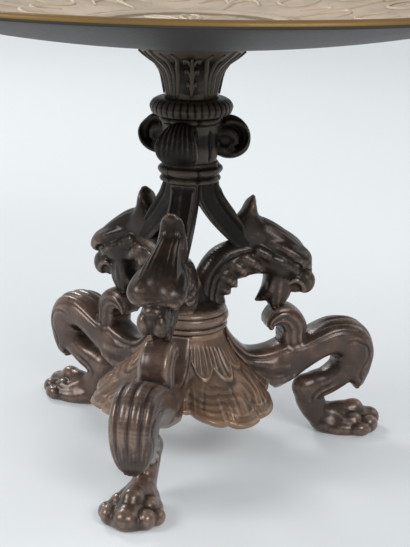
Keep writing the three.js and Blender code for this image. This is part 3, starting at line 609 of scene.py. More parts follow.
@dataclass(frozen=True)
class Steel:
    """Plain darkened steel for the fixings under the bell."""

    name: str = "fixing_steel"

    def material(self) -> bpy.types.Material:
        """Builds the material, with fine brushing and a little rust."""
        made = bpy.data.materials.new(self.name)
        made.use_nodes = True
        tree = made.node_tree
        shader = tree.nodes["Principled BSDF"]
        where = node(tree, "ShaderNodeTexCoord", "Object")
        noise = node(tree, "ShaderNodeTexNoise", 0, Vector=where, Scale=340.0, Detail=5.0)
        colours = tree.nodes.new("ShaderNodeValToRGB")
        feed(tree, colours.inputs[0], noise)
        colours.color_ramp.elements[0].position = 0.4
        colours.color_ramp.elements[0].color = (0.12, 0.07, 0.04, 1)
        colours.color_ramp.elements[1].position = 0.6
        colours.color_ramp.elements[1].color = (0.3, 0.29, 0.27, 1)
        tree.links.new(colours.outputs[0], shader.inputs["Base Color"])
        feed(tree, shader.inputs["Roughness"], noise * 0.5 + 0.2)
        shader.inputs["Metallic"].default_value = 1.0
        return made


# The inside's pale cream body colour is partly the bronze's own golden-brown tone and partly a painted
# reflection of the pale backdrop, which the inside mirrors at a low angle.
DISH_TONE_AND_SHEEN_FINISH = Bronze("dish_bronze", (0.40, 0.325, 0.25), (0.50, 0.40, 0.31), (0.16, 0.12, 0.08),
                     (0.50, 0.42, 0.31), wear=0.5, patch=38.0, gloss=0.55, metallic=0.15, coat=0.0, shine=0.3)
RIM_FINISH = Bronze("rim_bronze", (0.20, 0.115, 0.034), (0.13, 0.080, 0.030), (0.04, 0.03, 0.018),
                    (0.24, 0.15, 0.05), wear=0.5, patch=26.0, gloss=0.5, metallic=0.3, coat=0.0, shine=0.3)
UNDER_FINISH = Bronze("dish_under_bronze", (0.034, 0.033, 0.032), (0.044, 0.042, 0.040), (0.02, 0.019, 0.018),
                      (0.06, 0.055, 0.05), wear=0.3, patch=24.0, gloss=0.5, metallic=0.1, coat=0.0, shine=0.2)
# The near-black body and cast colours of the stem, its volutes and struts are partly the bronze's dark patina
# and partly painted shade: darkened for the shadow the dish throws over the stem, so these parts read darker
# than the legs and bell.
STEM_SHADED_FINISH = Bronze("stem_bronze", (0.0075, 0.0062, 0.0048), (0.018, 0.0135, 0.0095), (0.004, 0.0035, 0.003),
                     (0.15, 0.12, 0.092), wear=0.45, gloss=0.36, metallic=0.12, coat=0.06, shine=0.15)
# The beasts' dark body colours are partly the bronze's patina and partly painted shade, lowered for the
# dish's shadow over the crests; the hub moulding under the necks takes the same finish.
BEAST_HALF_SHADED_FINISH = Bronze("beast_bronze", (0.023, 0.0165, 0.0125), (0.052, 0.033, 0.024), (0.006, 0.0048, 0.004),
                      (0.28, 0.20, 0.155), wear=0.72, gloss=0.33, metallic=0.3, coat=0.2, shine=0.32)
LEG_FINISH = Bronze("leg_bronze", (0.060, 0.041, 0.032), (0.115, 0.068, 0.049), (0.012, 0.0095, 0.0075),
                    (0.32, 0.23, 0.18), wear=0.55, gloss=0.33, metallic=0.35, coat=0.3, shine=0.42)
BELL_FINISH = Bronze("bell_bronze", (0.122, 0.081, 0.057), (0.21, 0.113, 0.061), (0.040, 0.034, 0.028),
                     (0.36, 0.25, 0.17), wear=0.55, patch=34.0, gloss=0.4, metallic=0.3, coat=0.25, shine=0.4)


# The workshop, which every casting uses


class Workshop:
    """Makes meshes into pieces that ride on the frame."""

    def __init__(self) -> None:
        """Builds the shared trees and materials."""
        self.trees = {"turning": turning_tree(), "veins": vein_tree(), "copies": copies_tree()}
        self.group = patina_group()
        self.materials: dict[str, bpy.types.Material] = {}

    def material(self, finish: Bronze | Steel) -> bpy.types.Material:
        """The finish's material, built once."""
        if finish.name not in self.materials:
            made = finish.material(self.group) if isinstance(finish, Bronze) else finish.material()
            self.materials[finish.name] = made
        return self.materials[finish.name]

    def mesh(self, name: str, shape: Shape) -> bpy.types.Mesh:
        """Turns a shape into a mesh, in metres."""
        made = bpy.data.meshes.new(name)
        made.vertices.add(len(shape.points))
        made.vertices.foreach_set("co", (shape.points * MM).astype(np.float32).ravel())
        made.loops.add(shape.faces.size)
        made.loops.foreach_set("vertex_index", shape.faces.astype(np.int32).ravel())
        made.polygons.add(len(shape.faces))
        made.polygons.foreach_set("loop_start", np.arange(0, shape.faces.size, 4, dtype=np.int32))
        made.polygons.foreach_set("loop_total", np.full(len(shape.faces), 4, np.int32))
        made.update(calc_edges=True)
        made.validate()
        return made

    def through(self, tree: str, name: str, mesh: bpy.types.Mesh, finish: Bronze | Steel,
                **sizes: float) -> bpy.types.Mesh:
        """Runs a mesh through one of the geometry trees.

        Args:
            tree: Which tree.
            name: The name of the result.
            mesh: What goes in.
            finish: Its finish.
            sizes: The tree's inputs, by name.

        Returns:
            The finished mesh, with no modifier left.
        """
        holder = bpy.data.objects.new(name + ".flat", mesh)
        bpy.context.scene.collection.objects.link(holder)
        modifier = holder.modifiers.new(tree, "NODES")
        modifier.node_group = self.trees[tree]
        ids = {item.name: item.identifier for item in modifier.node_group.interface.items_tree
               if item.in_out == "INPUT"}
        for label, value in {**sizes, "Material": self.material(finish)}.items():
            modifier[ids[label]] = value
        bpy.context.view_layer.update()
        graph = bpy.context.evaluated_depsgraph_get()
        result = bpy.data.meshes.new_from_object(holder.evaluated_get(graph), depsgraph=graph)
        holder.modifiers.remove(modifier)
        bpy.data.objects.remove(holder)
        result.name = name
        return result

    def piece(self, name: str, meshes: Iterable[bpy.types.Mesh], finish: Bronze | Steel, slot: str,
              *nodes: str) -> bpy.types.Object:
        """Puts meshes together as one finished piece of the frame.

        Args:
            name: The piece's name.
            meshes: Its meshes, in metres and in place.
            finish: Its finish.
            slot: The record's material slot; not used.
            nodes: The CAD nodes that it stands for.

        Returns:
            The piece.
        """
        points, faces, first = [], [], 0
        for mesh in meshes:
            rows = np.zeros(len(mesh.vertices) * 3, np.float32)
            mesh.vertices.foreach_get("co", rows)
            points.append(rows.reshape(-1, 3))
            faces += [[first + i for i in polygon.vertices] for polygon in mesh.polygons]
            first += len(mesh.vertices)
        whole = bpy.data.meshes.new(name)
        whole.from_pydata(np.vstack(points), [], faces)
        whole.materials.append(self.material(finish))
        whole.polygons.foreach_set("use_smooth", np.ones(len(whole.polygons), bool))
        whole.update()
        self.mark_wear(whole)
        made = bpy.data.objects.new(name, whole)
        bpy.context.scene.collection.objects.link(made)
        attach(made, BODY)
        if nodes:
            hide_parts(*nodes)
        LOG.info("%s: %d faces, replaces %s", name, len(whole.polygons), ", ".join(nodes) or "nothing")
        return made

    @staticmethod
    def mark_wear(mesh: bpy.types.Mesh, passes: int = 10, depth: float = 0.3) -> None:
        """Writes how proud of its surroundings each point is, from 0 in a hollow to 1 on an edge.

        Args:
            mesh: The mesh to mark.
            passes: How far the surroundings reach.
            depth: The height in millimetres that counts as a full edge.
        """
        count = len(mesh.vertices)
        rows, edges = np.zeros(count * 3), np.zeros(len(mesh.edges) * 2, np.int32)
        mesh.vertices.foreach_get("co", rows)
        mesh.edges.foreach_get("vertices", edges)
        start, normals = rows.reshape(-1, 3), np.zeros(count * 3)
        mesh.vertex_normals.foreach_get("vector", normals)
        a, b = edges.reshape(-1, 2).T
        degree = np.maximum(np.bincount(a, minlength=count) + np.bincount(b, minlength=count), 1)
        now = start.copy()
        for _ in range(passes):
            now = np.column_stack([
                (np.bincount(a, now[b, k], count) + np.bincount(b, now[a, k], count)) / degree
                for k in range(3)])
        proud = ((start - now) * normals.reshape(-1, 3)).sum(1) / MM
        made = mesh.attributes.new(WEAR, "FLOAT", "POINT")
        made.data.foreach_set("value", np.clip(0.5 + 0.5 * proud / depth, 0, 1).astype(np.float32))

    def turned(self, name: str, outline: Stations, finish: Bronze, segments: int = 96, lobes: int = 1,
               depth: float = 0.0, sharpness: float = 1.0, first: float = 0.0) -> bpy.types.Mesh:
        """Turns an outline round the stem through the turning tree.

        Args:
            name: The mesh's name.
            outline: Radius, height and lobe weight, up the outside and closed at the axis or in a ring.
            finish: Its finish.
            segments: How many faces go round.
            lobes: How many lobes go round.
            depth: Their depth in millimetres.
            sharpness: Below 1 the gaps are narrow.
            first: The angle of a lobe in degrees.

        Returns:
            The mesh.
        """
        rows = np.asarray(outline, float)
        angles = np.linspace(0, 2 * math.pi, segments + 1)
        points = np.array([(angle / MM, r, z) for angle in angles for r, z, _ in rows])
        n = len(rows)
        i, j = np.meshgrid(np.arange(segments), np.arange(n - 1), indexing="ij")
        base = (i * n + j).ravel()
        flat = self.mesh(name, Shape(points, np.column_stack((base, base + n, base + n + 1, base + 1))))
        weights = np.tile(rows[:, 2], segments + 1).astype(np.float32)
        flat.attributes.new(WEIGHT, "FLOAT", "POINT").data.foreach_set("value", weights)
        return self.through("turning", name, flat, finish, Lobes=lobes, Depth=depth * MM,
                            Sharpness=sharpness, First=math.radians(first))

    def veins(self, name: str, lines: Iterable[Array], finish: Bronze, copies: int, first: float = 0.0,
              sides: int = 8) -> bpy.types.Mesh:
        """Lays beads along lines of x, y, z and radius, copied round the stem.

        Args:
            name: The mesh's name.
            lines: The lines of the first copy.
            finish: Its finish.
            copies: How many copies go round.
            first: The angle of the first copy in degrees.
            sides: The sides of a bead.

        Returns:
            The mesh.
        """
        rows = [np.asarray(line, float) for line in lines]
        ends = np.cumsum([len(r) for r in rows])
        every = np.vstack(rows)
        edges = [(i, i + 1) for i in range(len(every) - 1) if i + 1 not in ends]
        made = bpy.data.meshes.new(name)
        made.from_pydata(every[:, :3] * MM, edges, [])
        girth = (every[:, 3] * MM).astype(np.float32)
        made.attributes.new(GIRTH, "FLOAT", "POINT").data.foreach_set("value", girth)
        return self.through("veins", name, made, finish, Copies=copies, Sides=sides,
                            First=math.radians(first))


def rounded_outline(stations: Stations, per_span: int = 4) -> Array:
    """Smooths an outline of radius and height, with full lobe weight."""
    rows = smooth_run(stations, per_span)
    return np.column_stack((np.maximum(rows, 0), np.ones(len(rows))))


def own_third(x: Array, y: Array, z: Array) -> Array:
    """Below 0 in the third of space round +x, a little short of its neighbours."""
    return np.abs(y) * 0.5 - x * THIRD_SLOPE + THIRD_GAP + 0 * z


# The castings


@dataclass
class Dish:
    """The wide shallow dish with its rolled rim and the low relief inside."""

    radius: float = 145.0
    rim_height: float = 191.5
    foot: float = 169.3
    lip: float = 24.5
    bead: float = 1.7
    floor: float = 173.4
    wall: tuple[float, float] = (4.4, 2.2)
    power: float = 1.83
    floor_radius: float = 37.8
    boss: tuple[float, float] = (9.0, 164.3)
    button: tuple[float, float] = (5.5, 1.8)
    ridges: Stations = ((37.8, 1.6, 1.5), (42.5, 0.5, 0.8), (133, 0.7, 1.2), (129, 0.45, 0.7))
    scrolls: int = 8
    petals_round: int = 10
    curl_middle: tuple[float, float] = (90.0, 17.56)
    curl_size: float = 15.0

    def underside(self, radius: Array | float) -> Array | float:
        """The height of the underside at a radius."""
        share = np.maximum((radius - self.lip) / (self.radius - self.lip), 0)
        return self.foot + (self.rim_height - self.bead - self.foot) * share**self.power

    def inside(self, radius: Array | float) -> Array | float:
        """The height of the inner face at a radius."""
        share = np.clip((radius - self.lip) / (self.radius - self.lip), 0, 1)
        return self.underside(radius) + self.wall[0] + share * (self.wall[1] - self.wall[0])

    def outline(self) -> tuple[list, list]:
        """The outline below the rim's crest, and the one inside it."""
        boss, low = self.boss
        below = [(0, low, 0), (boss, low, 0), (boss, self.foot, 0)]
        below += [(r, float(self.underside(r)), 0) for r in np.linspace(self.lip - 2, self.radius - 0.9, 40)]
        centre = (self.radius - self.bead, self.rim_height - self.bead)
        turn = np.radians(np.linspace(-35, 160, 12))
        rim = [(centre[0] + self.bead * math.cos(a), centre[1] + self.bead * math.sin(a), 0) for a in turn]
        top = []
        for r in np.linspace(self.radius - 2 * self.bead - 0.4, 0, 110):
            raised = sum(high * math.exp(-(((r - at) / width) ** 2)) for at, high, width in self.ridges)
            raised += self.button[1] * math.exp(-((r / self.button[0]) ** 4))
            height = float(self.inside(r)) if r > self.floor_radius else self.floor
            top.append((r, height + raised, 0))
        return below + rim[:5], rim[4:] + top

    def on_face(self, path: Stations) -> Array:
        """Lays x, y and girth on the inner face."""
        x, y, girth = np.asarray(path, float).T
        r = np.hypot(x, y)
        z = np.where(r > self.floor_radius, self.inside(r), self.floor) + 0.1
        return np.column_stack((x, y, z, girth))

    def motif(self) -> list[Array]:
        """The lines of one pair of scrolls: a stem, two curls, and the leaves that spring from them."""
        turn = np.linspace(0, 3.3 * math.pi, 44)
        size = self.curl_size * (1 - np.linspace(0, 0.86, 44))
        out, aside = self.curl_middle
        stem = smooth_run([(48, 0, 0.5), (60, 0, 1.2), (84, 0, 1.0), (104, 0, 1.4), (123, 0, 0.5)], 6)
        lines = [self.on_face(stem)]
        for side in (1, -1):
            curl = np.column_stack((out + size * np.sin(turn), side * (aside - size * np.cos(turn)),
                                    0.45 + size / 18))
            lines.append(self.on_face(curl))
            for leaf in (((60, 0.5, 0.5), (68, 4.5, 1.1), (66, 10, 1.0), (58, 13, 0.4)),
                         ((104, 2, 0.5), (114, 6, 1.2), (120, 14, 1.0), (118, 22, 0.4)),
                         ((76, 24, 0.4), (68, 20, 1.0), (62, 21, 0.9), (58, 25, 0.4)),
                         ((104, 26, 0.4), (110, 31, 1.0), (118, 33, 0.9), (124, 31, 0.4))):
                path = smooth_run([(x, side * y, girth) for x, y, girth in leaf], 5)
                lines.append(self.on_face(path))
        return lines

    def petals(self) -> list[Array]:
        """The lines of one petal of the rosette in the middle."""
        loops = [((5, 0, 0.5), (16, 0, 1.0), (25, 0, 0.4))]
        loops += [((6, 0, 0.6), (13, side * 2.6, 1.0), (20, side * 3.8, 1.1), (27, side * 2.4, 0.9),
                   (30, 0, 0.4))
                  for side in (1, -1)]
        return [self.on_face(smooth_run(loop, 5)) for loop in loops]

    def build(self, shop: Workshop) -> None:
        """Turns the dish, lays its relief and dresses both sides."""
        below, above = self.outline()
        shell = shop.turned("dish.shell", below + above, UNDER_FINISH, 160)
        relief = shop.veins("dish.relief", self.motif(), DISH_TONE_AND_SHEEN_FINISH, self.scrolls, sides=6)
        rose = shop.veins("dish.rose", self.petals(), DISH_TONE_AND_SHEEN_FINISH, self.petals_round, sides=6)
        dish = shop.piece("bowl_dish", [shell, relief, rose], UNDER_FINISH, "dish_bronze", "dish")
        for finish in (DISH_TONE_AND_SHEEN_FINISH, RIM_FINISH):
            dish.data.materials.append(shop.material(finish))
        centres = np.zeros(len(dish.data.polygons) * 3)
        dish.data.polygons.foreach_get("center", centres)
        centres = centres.reshape(-1, 3) / MM
        radius = np.hypot(centres[:, 0], centres[:, 1])
        # The inner faces take the pale finish that holds the painted reflection, the rim's crest its gold
        # line, and the rest the dark underside.
        inner = (radius < self.radius - 2 * self.bead) & (centres[:, 2] > self.underside(radius) + 0.9)
        rim = (radius >= self.radius - 2 * self.bead) & (centres[:, 2] > self.rim_height - self.bead * 1.1)
        dish.data.polygons.foreach_set("material_index", (inner + 2 * rim).astype(np.int32))


@dataclass
class Stem:
    """The turned parts between the dish and the struts: calyx, collar, abacus, capital and ring."""

    leaves: int = 4
    leaf_bearing: float = 60.0
    gadroons: int = 36
    calyx: Stations = ((10.5, 145.8), (10.9, 147.4), (11.3, 150.1), (11.8, 153.2), (12.7, 156.3),
                       (15.0, 159.4),
                       (18.4, 161.9), (22.2, 164.8), (24.0, 167.2), (24.4, 169))
    collar: Stations = ((11.8, 138.8), (13.6, 138.9), (15.4, 139.6), (16.2, 141.2), (16.3, 142.5),
                        (15.5, 144.1), (13.8, 145.2), (12.2, 145.6))
    plate: Stations = ((10.6, 136.2), (11.9, 136.3), (12.5, 136.9), (12.6, 137.5), (12.1, 138.1),
                       (11.0, 138.4))
    core: Stations = ((10.2, 120.8), (10.8, 122.0), (11.2, 125), (11.0, 129), (11.2, 133), (11.6, 135.8))
    ring: Stations = ((10.8, 112.7), (11.9, 113.0), (12.2, 113.8), (11.6, 114.7), (11.2, 115.2),
                      (12.1, 115.9),
                      (12.9, 117.0), (12.8, 118.1), (11.8, 119.0), (11.2, 119.9), (10.6, 120.6))

    def closed(self, stations: Stations, plain: float = 0.0) -> list:
        """Closes an outline at the axis, with lobes on its outer wall."""
        rows = rounded_outline(stations)
        rows[:, 2] = np.clip(np.linspace(0, 1, len(rows)) * 6, 0,
                             1) * np.clip(np.linspace(1, plain, len(rows)) * 5, 0, 1)
        return [(0, rows[0][1], 0), *map(tuple, rows), (0, rows[-1][1], 0)]

    def radius_at(self, height: Array | float) -> Array | float:
        """The calyx's radius at a height."""
        rows = np.asarray(self.calyx)
        return np.interp(height, rows[:, 1], rows[:, 0])

    def on_calyx(self, stations: Stations) -> Array:
        """Lays angle, height and girth on the calyx."""
        angle, z, girth = smooth_run(stations, 5).T
        r = self.radius_at(z) - girth * 0.45 + 0.3 * ramp(z, 158, 165)
        return np.column_stack((r * np.cos(np.radians(angle)), r * np.sin(np.radians(angle)), z, girth))

    def leaf_lines(self) -> list[Array]:
        """The flutes of one tall smooth leaf, and the halves of the veined leaves on either side of it."""
        lines = [self.on_calyx(((0, 146.4, 0.7), (0, 153, 1.2), (0, 160, 1.2), (0, 166, 0.5))),
                 self.on_calyx(((45, 147.0, 0.5), (45, 152.0, 0.9), (45, 158.0, 0.9), (45, 163.0, 0.5)))]
        for side in (1, -1):
            for low, high, size in ((15, 27, 1.0), (7.5, 13.5, 0.9)):
                lines.append(self.on_calyx(((side * low, 146.4, 0.6), (side * (low + 2), 152, size),
                                            (side * (low + high) / 2, 158, size),
                                            (side * high, 162, size * 0.8),
                                            (side * (high - 3), 164.4, 0.4))))
            for low, wide in ((148.4, 7.0), (153.4, 9.5), (158.2, 8.5)):
                lines.append(self.on_calyx(((side * 44.5, low, 0.4),
                                            (side * (45 - wide * 0.45), low + 2.8, 0.7),
                                            (side * (45 - wide), low + 4.2, 0.7),
                                            (side * (45 - wide - 1.2), low + 2.6, 0.5))))
        return lines

    def build(self, shop: Workshop) -> None:
        """Turns the stem's parts and dresses them."""
        body = shop.turned("calyx.body", self.closed(self.calyx), STEM_SHADED_FINISH, 96, self.leaves, 0.9, 1.0,
                           self.leaf_bearing)
        veins = shop.veins("calyx.veins", self.leaf_lines(), STEM_SHADED_FINISH, self.leaves, self.leaf_bearing,
                           sides=6)
        shop.piece("stem_calyx", [body, veins], STEM_SHADED_FINISH, "stem_bronze", "calyx")
        rib = 180 / self.gadroons
        rings = (("stem_collar", self.collar, (288, self.gadroons, 0.4, 0.5, rib), "gadroon_collar"),
                 ("stem_plate", self.plate, (96, 6, 0.9, 0.6, 30), "abacus"),
                 ("stem_core", self.core, (144, 9, 1.2, 0.5, 30), "capital"),
                 ("stem_ring_moulding", self.ring, (144, 6, 0.7, 0.6, 30), "stem_ring"))
        for name, stations, wave, replaced in rings:
            ring = shop.turned(name + ".turned", self.closed(stations), STEM_SHADED_FINISH, *wave)
            shop.piece(name, [ring], STEM_SHADED_FINISH, "stem_bronze", replaced)


@dataclass
class Sculpted:
    """A casting that is modelled once and set in each of the three directions."""

    name: str = ""
    node: str = ""
    slot: str = ""
    finish: Bronze = STEM_SHADED_FINISH
    step: float = 0.4

    def model(self) -> Shape:
        """Models the casting in its own plane; each kind has its own."""
        raise NotImplementedError

    def build(self, shop: Workshop) -> None:
        """Sets the casting in each direction and dresses it."""
        shape = self.model()
        for bearing in Bearing:
            name = f"{self.name}_{bearing.label}"
            mesh = shop.mesh(name + ".cast", shape.turned(bearing.value))
            shop.piece(name, [mesh], self.finish, self.slot, f"{self.node}_{bearing.label}")


@dataclass
class Volute(Sculpted):
    """A volute of the capital: a fluted shell in front, with an ear-like curl on each cheek."""

    name: str = "stem_volute"
    node: str = "volute"
    slot: str = "stem_bronze"
    step: float = 0.28
    eye: tuple[float, float] = (15.2, 129.9)
    reach: float = 8.3
    wall: tuple[float, float] = (2.5, 1.9)
    turns: tuple[float, float, int] = (124.0, -160.0, 15)
    sag: float = 1.08

    def model(self) -> Shape:
        """Models the volute."""
        path = [(8.3, 136.0, 2.2, 2.0, 4.4)]
        r = self.reach - 2.3
        for degrees in np.linspace(*self.turns):
            turn = math.radians(degrees)
            wide = 4.6 + 3.8 * float(ramp(-degrees, -100, 5)) - 3.4 * float(ramp(-degrees, 20, 130))
            stretch = self.sag if math.sin(turn) < 0 else 1.0
            path.append((self.eye[0] + r * math.cos(turn), self.eye[1] + stretch * r * math.sin(turn),
                         *self.wall, wide))

        def channel(share: Array, across: Array, through: Array) -> Array:
            """Fine ribs down the front of the shell, which gather at its top, between its two rims."""
            front = ramp(1 - np.abs(across), 0.02, 0.16) * ramp(through, -0.2, 0.8)
            run = ramp(share, 0.02, 0.08) * (1 - ramp(share, 0.44, 0.62))
            return run * front * (0.45 + 0.22 * np.cos(26 * across))

        clay = Clay((6, 118.4), (25, 9.8, 139.5), self.step)
        clay.add(Band(path, 2.1, channel), blend=0.4)
        clay.add(Ball((self.eye[0] - 0.8, 0, self.eye[1] + 0.3), (6.2, 4.9, 6.2)), blend=0.8)
        clay.cut(Strand([(10.5, 7.0, 135.0, 1.3), (14.5, 7.0, 135.2, 1.7), (18.0, 7.2, 133.2, 1.6),
                         (19.4, 7.3, 130.2, 1.2), (18.8, 7.0, 127.6, 0.8)]), blend=1.1)
        clay.add(Strand([(8.6, 2.4, 131.8, 2.4), (12.4, 3.6, 132.4, 2.2), (16.0, 4.4, 130.8, 1.9),
                         (17.0, 4.4, 128.2, 1.4),
                         (14.8, 4.2, 127.0, 1.0)]), blend=0.9)
        clay.add(Strand([(8.8, 2.6, 125.0, 2.0), (12.4, 3.8, 124.9, 1.9), (16.0, 4.2, 125.4, 1.2)]),
                 blend=0.9)
        clay.add(Band([(8.6, 135.4, 2.2, 2.4, 5.2), (8.4, 130, 2.2, 2.6, 4.6), (8.6, 124, 2, 2.6, 3.6)]),
                 blend=1.2)
        clay.keep(self.room)
        return clay.cast()

    @staticmethod
    def room(x: Array, y: Array, z: Array) -> Array:
        """Below 0 under the plate, over the ring and outside the core."""
        r = np.hypot(x, y)
        floor = np.where(r < 13.2, 120.9, 119.2)
        return np.maximum(np.maximum(z - 138.1, floor - z), 7.6 - r)


@dataclass
class Strut(Sculpted):
    """A fluted bar that leans from the stem's ring out to a beast's nape."""

    name: str = "stem_strut"
    node: str = "strut"
    slot: str = "stem_bronze"
    step: float = 0.36
    half_width: float = 5.2
    half_depth: float = 5.55
    spine: Stations = ((6.4, 113.2), (6.6, 109.5), (7.9, 105.4), (10.5, 101.2), (13.6, 97.0), (17.2, 93.0),
                       (20.6, 89.6), (22.8, 87.6))

    def model(self) -> Shape:
        """Models the strut."""
        path = [(*place, self.half_depth + 0.2, self.half_depth, self.half_width) for place in self.spine]

        def flutes(share: Array, across: Array, through: Array) -> Array:
            """The channel in the outer and inner faces, and a fine line along each side."""
            face = ramp(1 - np.abs(across), 0.2, 0.36) * ramp(np.abs(through), 0.45, 0.95)
            bead = 0.35 * groove(across, 0.0, 0.16) * ramp(np.abs(through), 0.3, 0.8)
            side = ramp(np.abs(across), 0.6, 0.95)
            return 1.2 * face - bead + side * 0.5 * (groove(through, 0.42, 0.1) + 0.5 * groove(through,
                                                                                               -0.5, 0.1))

        clay = Clay((-1, 81), (29, 8, 113.5), self.step)
        clay.add(Band(path, 4.6, flutes), blend=0.4).keep(own_third)
        clay.keep(lambda x, y, z: np.maximum(z - 112.5,
                                             np.hypot(x, y) - 11.5 - np.maximum(111.0 - z, 0) * 0.6))
        return clay.cast()


@dataclass
class Beast(Sculpted):
    """A long-necked beast with a crest, hooded brows, an open mouth and a hanging chin."""

    name: str = "beast_casting"
    node: str = "beast"
    slot: str = "beast_bronze"
    finish: Bronze = BEAST_HALF_SHADED_FINISH
    step: float = 0.33

    def neck(self, clay: Clay) -> None:
        """The neck, its smooth ridge and the locks of the mane under it."""
        def ridge_lines(share: Array, across: Array, through: Array) -> Array:
            """The two lines that bound the smooth ridge, and fine hair below it."""
            side = ramp(np.abs(across), 0.35, 0.8)
            hair = 0.07 * np.cos(50 * share + 6 * through) * ramp(-through, 0.0, 0.4)
            lines = groove(through, 0.24 + 0.4 * share, 0.07) + groove(through, 0.42 * share - 0.12, 0.08)
            return side * (0.5 * lines + hair)

        clay.add(Band([(8.9, 60.9, 6.4, 6.6, 6.3), (9.0, 66, 7.0, 5.8, 6.3), (10.7, 72, 7.6, 5.8, 6.4),
                       (14.8, 76, 8.8, 6.4, 6.5), (20.5, 77.8, 9.2, 6.9, 6.5), (26.5, 78.6, 8.2, 6.2, 6.6),
                       (33, 78.6, 7, 6.4, 7)], 2.6, ridge_lines), blend=0.6)
        locks = (((12.2, 3.9, 68.8, 2.6), (14.4, 4.7, 67.4, 2.1), (15.8, 4.6, 66.0, 0.8)),
                 ((13.0, 4.0, 74.0, 3.1), (16.4, 4.8, 71.2, 2.6), (18.9, 3.9, 68.6, 0.9)),
                 ((17.4, 4.3, 77.8, 2.9), (20.6, 5.4, 75.8, 2.4), (22.4, 5.2, 73.5, 1.0)),
                 ((22.6, 4.6, 80.0, 2.9), (26.2, 5.7, 78.0, 2.4), (28.4, 5.6, 75.6, 1.0)),
                 ((28.0, 5.0, 83.0, 2.7), (31.8, 6.4, 81.0, 2.4), (34.4, 6.8, 78.8, 1.1)))
        for lock in locks:
            clay.add(Strand(lock), blend=1.3)
        clay.add(Strand([(13.6, 0, 71.8, 3.5), (16.4, 0, 70.8, 2.3), (18.2, 0, 68.8, 0.8)]), blend=0.8)

    def head(self, clay: Clay) -> None:
        """The skull, the crest, the forehead's channel, the brows and the cheeks."""
        def hair(share: Array, across: Array, through: Array) -> Array:
            """Fine streaks up the forehead, which fade towards the brows."""
            return 0.13 * np.cos(28 * across) * ramp(through, 0.3, 0.9) * (1 - ramp(share, 0.4, 0.66))

        clay.add(Band([(22.5, 90.8, 6.4, 6, 4.8), (29, 88.8, 7.2, 7.5, 5.8), (35, 85.6, 7.0, 8, 7.4),
                       (40.5, 82.0, 6.4, 7.4, 9.0), (45, 79.2, 5.3, 5.4, 9.8), (47.7, 77.4, 3.0, 3.2, 9.0),
                       (49.0, 76.6, 1.4, 1.4, 6.8)], 2.4, hair), blend=1.6)
        clay.add(Band([(25.2, 90.6, 5.7, 5.2, 5.4), (24.7, 96.4, 3.9, 3.9, 5.1), (25.2, 101.2, 2.1, 2.5, 4.5),
                       (26.0, 103.4, 1.2, 1.5, 3.2), (26.4, 104.6, 0.6, 0.7, 1.8)], 2.2), blend=2.4)
        clay.cut(Strand([(28.6, 0, 101.0, 0.7), (30.6, 0, 97.2, 1.1), (35.2, 0, 94.7, 1.3),
                         (40.4, 0, 91.2, 1.2),
                         (44.8, 0, 87.8, 0.8)]), blend=1.5)
        clay.add(Ball((41.4, 0, 83.2), (6.4, 3.4, 4.6), -38), blend=2.6)
        clay.add(Ball((45.5, 5.4, 79.2), (5.1, 4.9, 4.6), -35), blend=1.2)
        clay.add(Strand([(32, 5.4, 86.2, 1.0), (37, 7.4, 84.4, 1.8), (41.6, 8.6, 81.8, 2.4),
                         (45.6, 8.8, 78.8, 2.5),
                         (48.0, 7.4, 76.2, 1.5)]), blend=1.5)
        clay.cut(Ball((42.6, 10.2, 77.2), (2.4, 1.7, 1.5), -30), blend=0.9)
        clay.add(Ball((43.2, 8.4, 77.2), (1.5, 1.3, 1.1)), blend=0.5)
        clay.add(Ball((37.6, 4.9, 77.0), (7.4, 4.2, 4.9), -15), blend=1.8)
        clay.add(Strand([(31.6, 5.8, 80.4, 1.2), (36.6, 7.9, 78.8, 1.7), (41.2, 7.8, 75.8, 1.4),
                         (44.0, 6.8, 73.6, 0.9)]), blend=1.5)
        clay.cut(Strand([(38.0, 9.4, 73.2, 0.5), (41.0, 8.6, 72.6, 0.8), (44.2, 7.6, 71.6, 0.6)]), blend=1.0)

    def muzzle(self, clay: Clay) -> None:
        """The muzzle with its two lobes, the nose, the lips and the hollow between the jaws."""
        clay.add(Ball((46.4, 0, 70.0), (6.4, 5.9, 6.6), 8), blend=1.6)
        clay.add(Ball((45.0, 0, 67.3), (6.0, 4.7, 3.9)), blend=1.4)
        clay.add(Ball((48.9, 3.1, 68.4), (4.3, 3.2, 5.0)), blend=0.4)
        clay.add(Ball((50.1, 0, 73.4), (2.5, 3.5, 2.3), -35), blend=1.0)
        clay.cut(Strand([(48.4, 9.0, 74.2, 0.6), (50.9, 6.0, 74.6, 0.8), (52.6, 2.8, 75.4, 0.8),
                         (53.2, 0, 76.0, 0.7)]), blend=1.0)
        clay.cut(Ball((43.6, 7.0, 66.2), (3.0, 2.6, 2.3), -18), blend=1.2)
        clay.add(Strand([(41.4, 4.4, 68.6, 0.9), (44.0, 5.4, 69.8, 1.1), (46.6, 5.6, 68.4, 1.1),
                         (48.0, 5.0, 65.6, 0.9)]), blend=1.0)

    def chin(self, clay: Clay) -> None:
        """The jaw and the beard that stand on the leg's scroll."""
        def folds(share: Array, across: Array, through: Array) -> Array:
            """Two folds down each side."""
            side = ramp(np.abs(across), 0.4, 0.8) * ramp(share, 0.1, 0.3)
            return side * 0.24 * (groove(through, 0.4, 0.2) + groove(through, -0.25, 0.2))

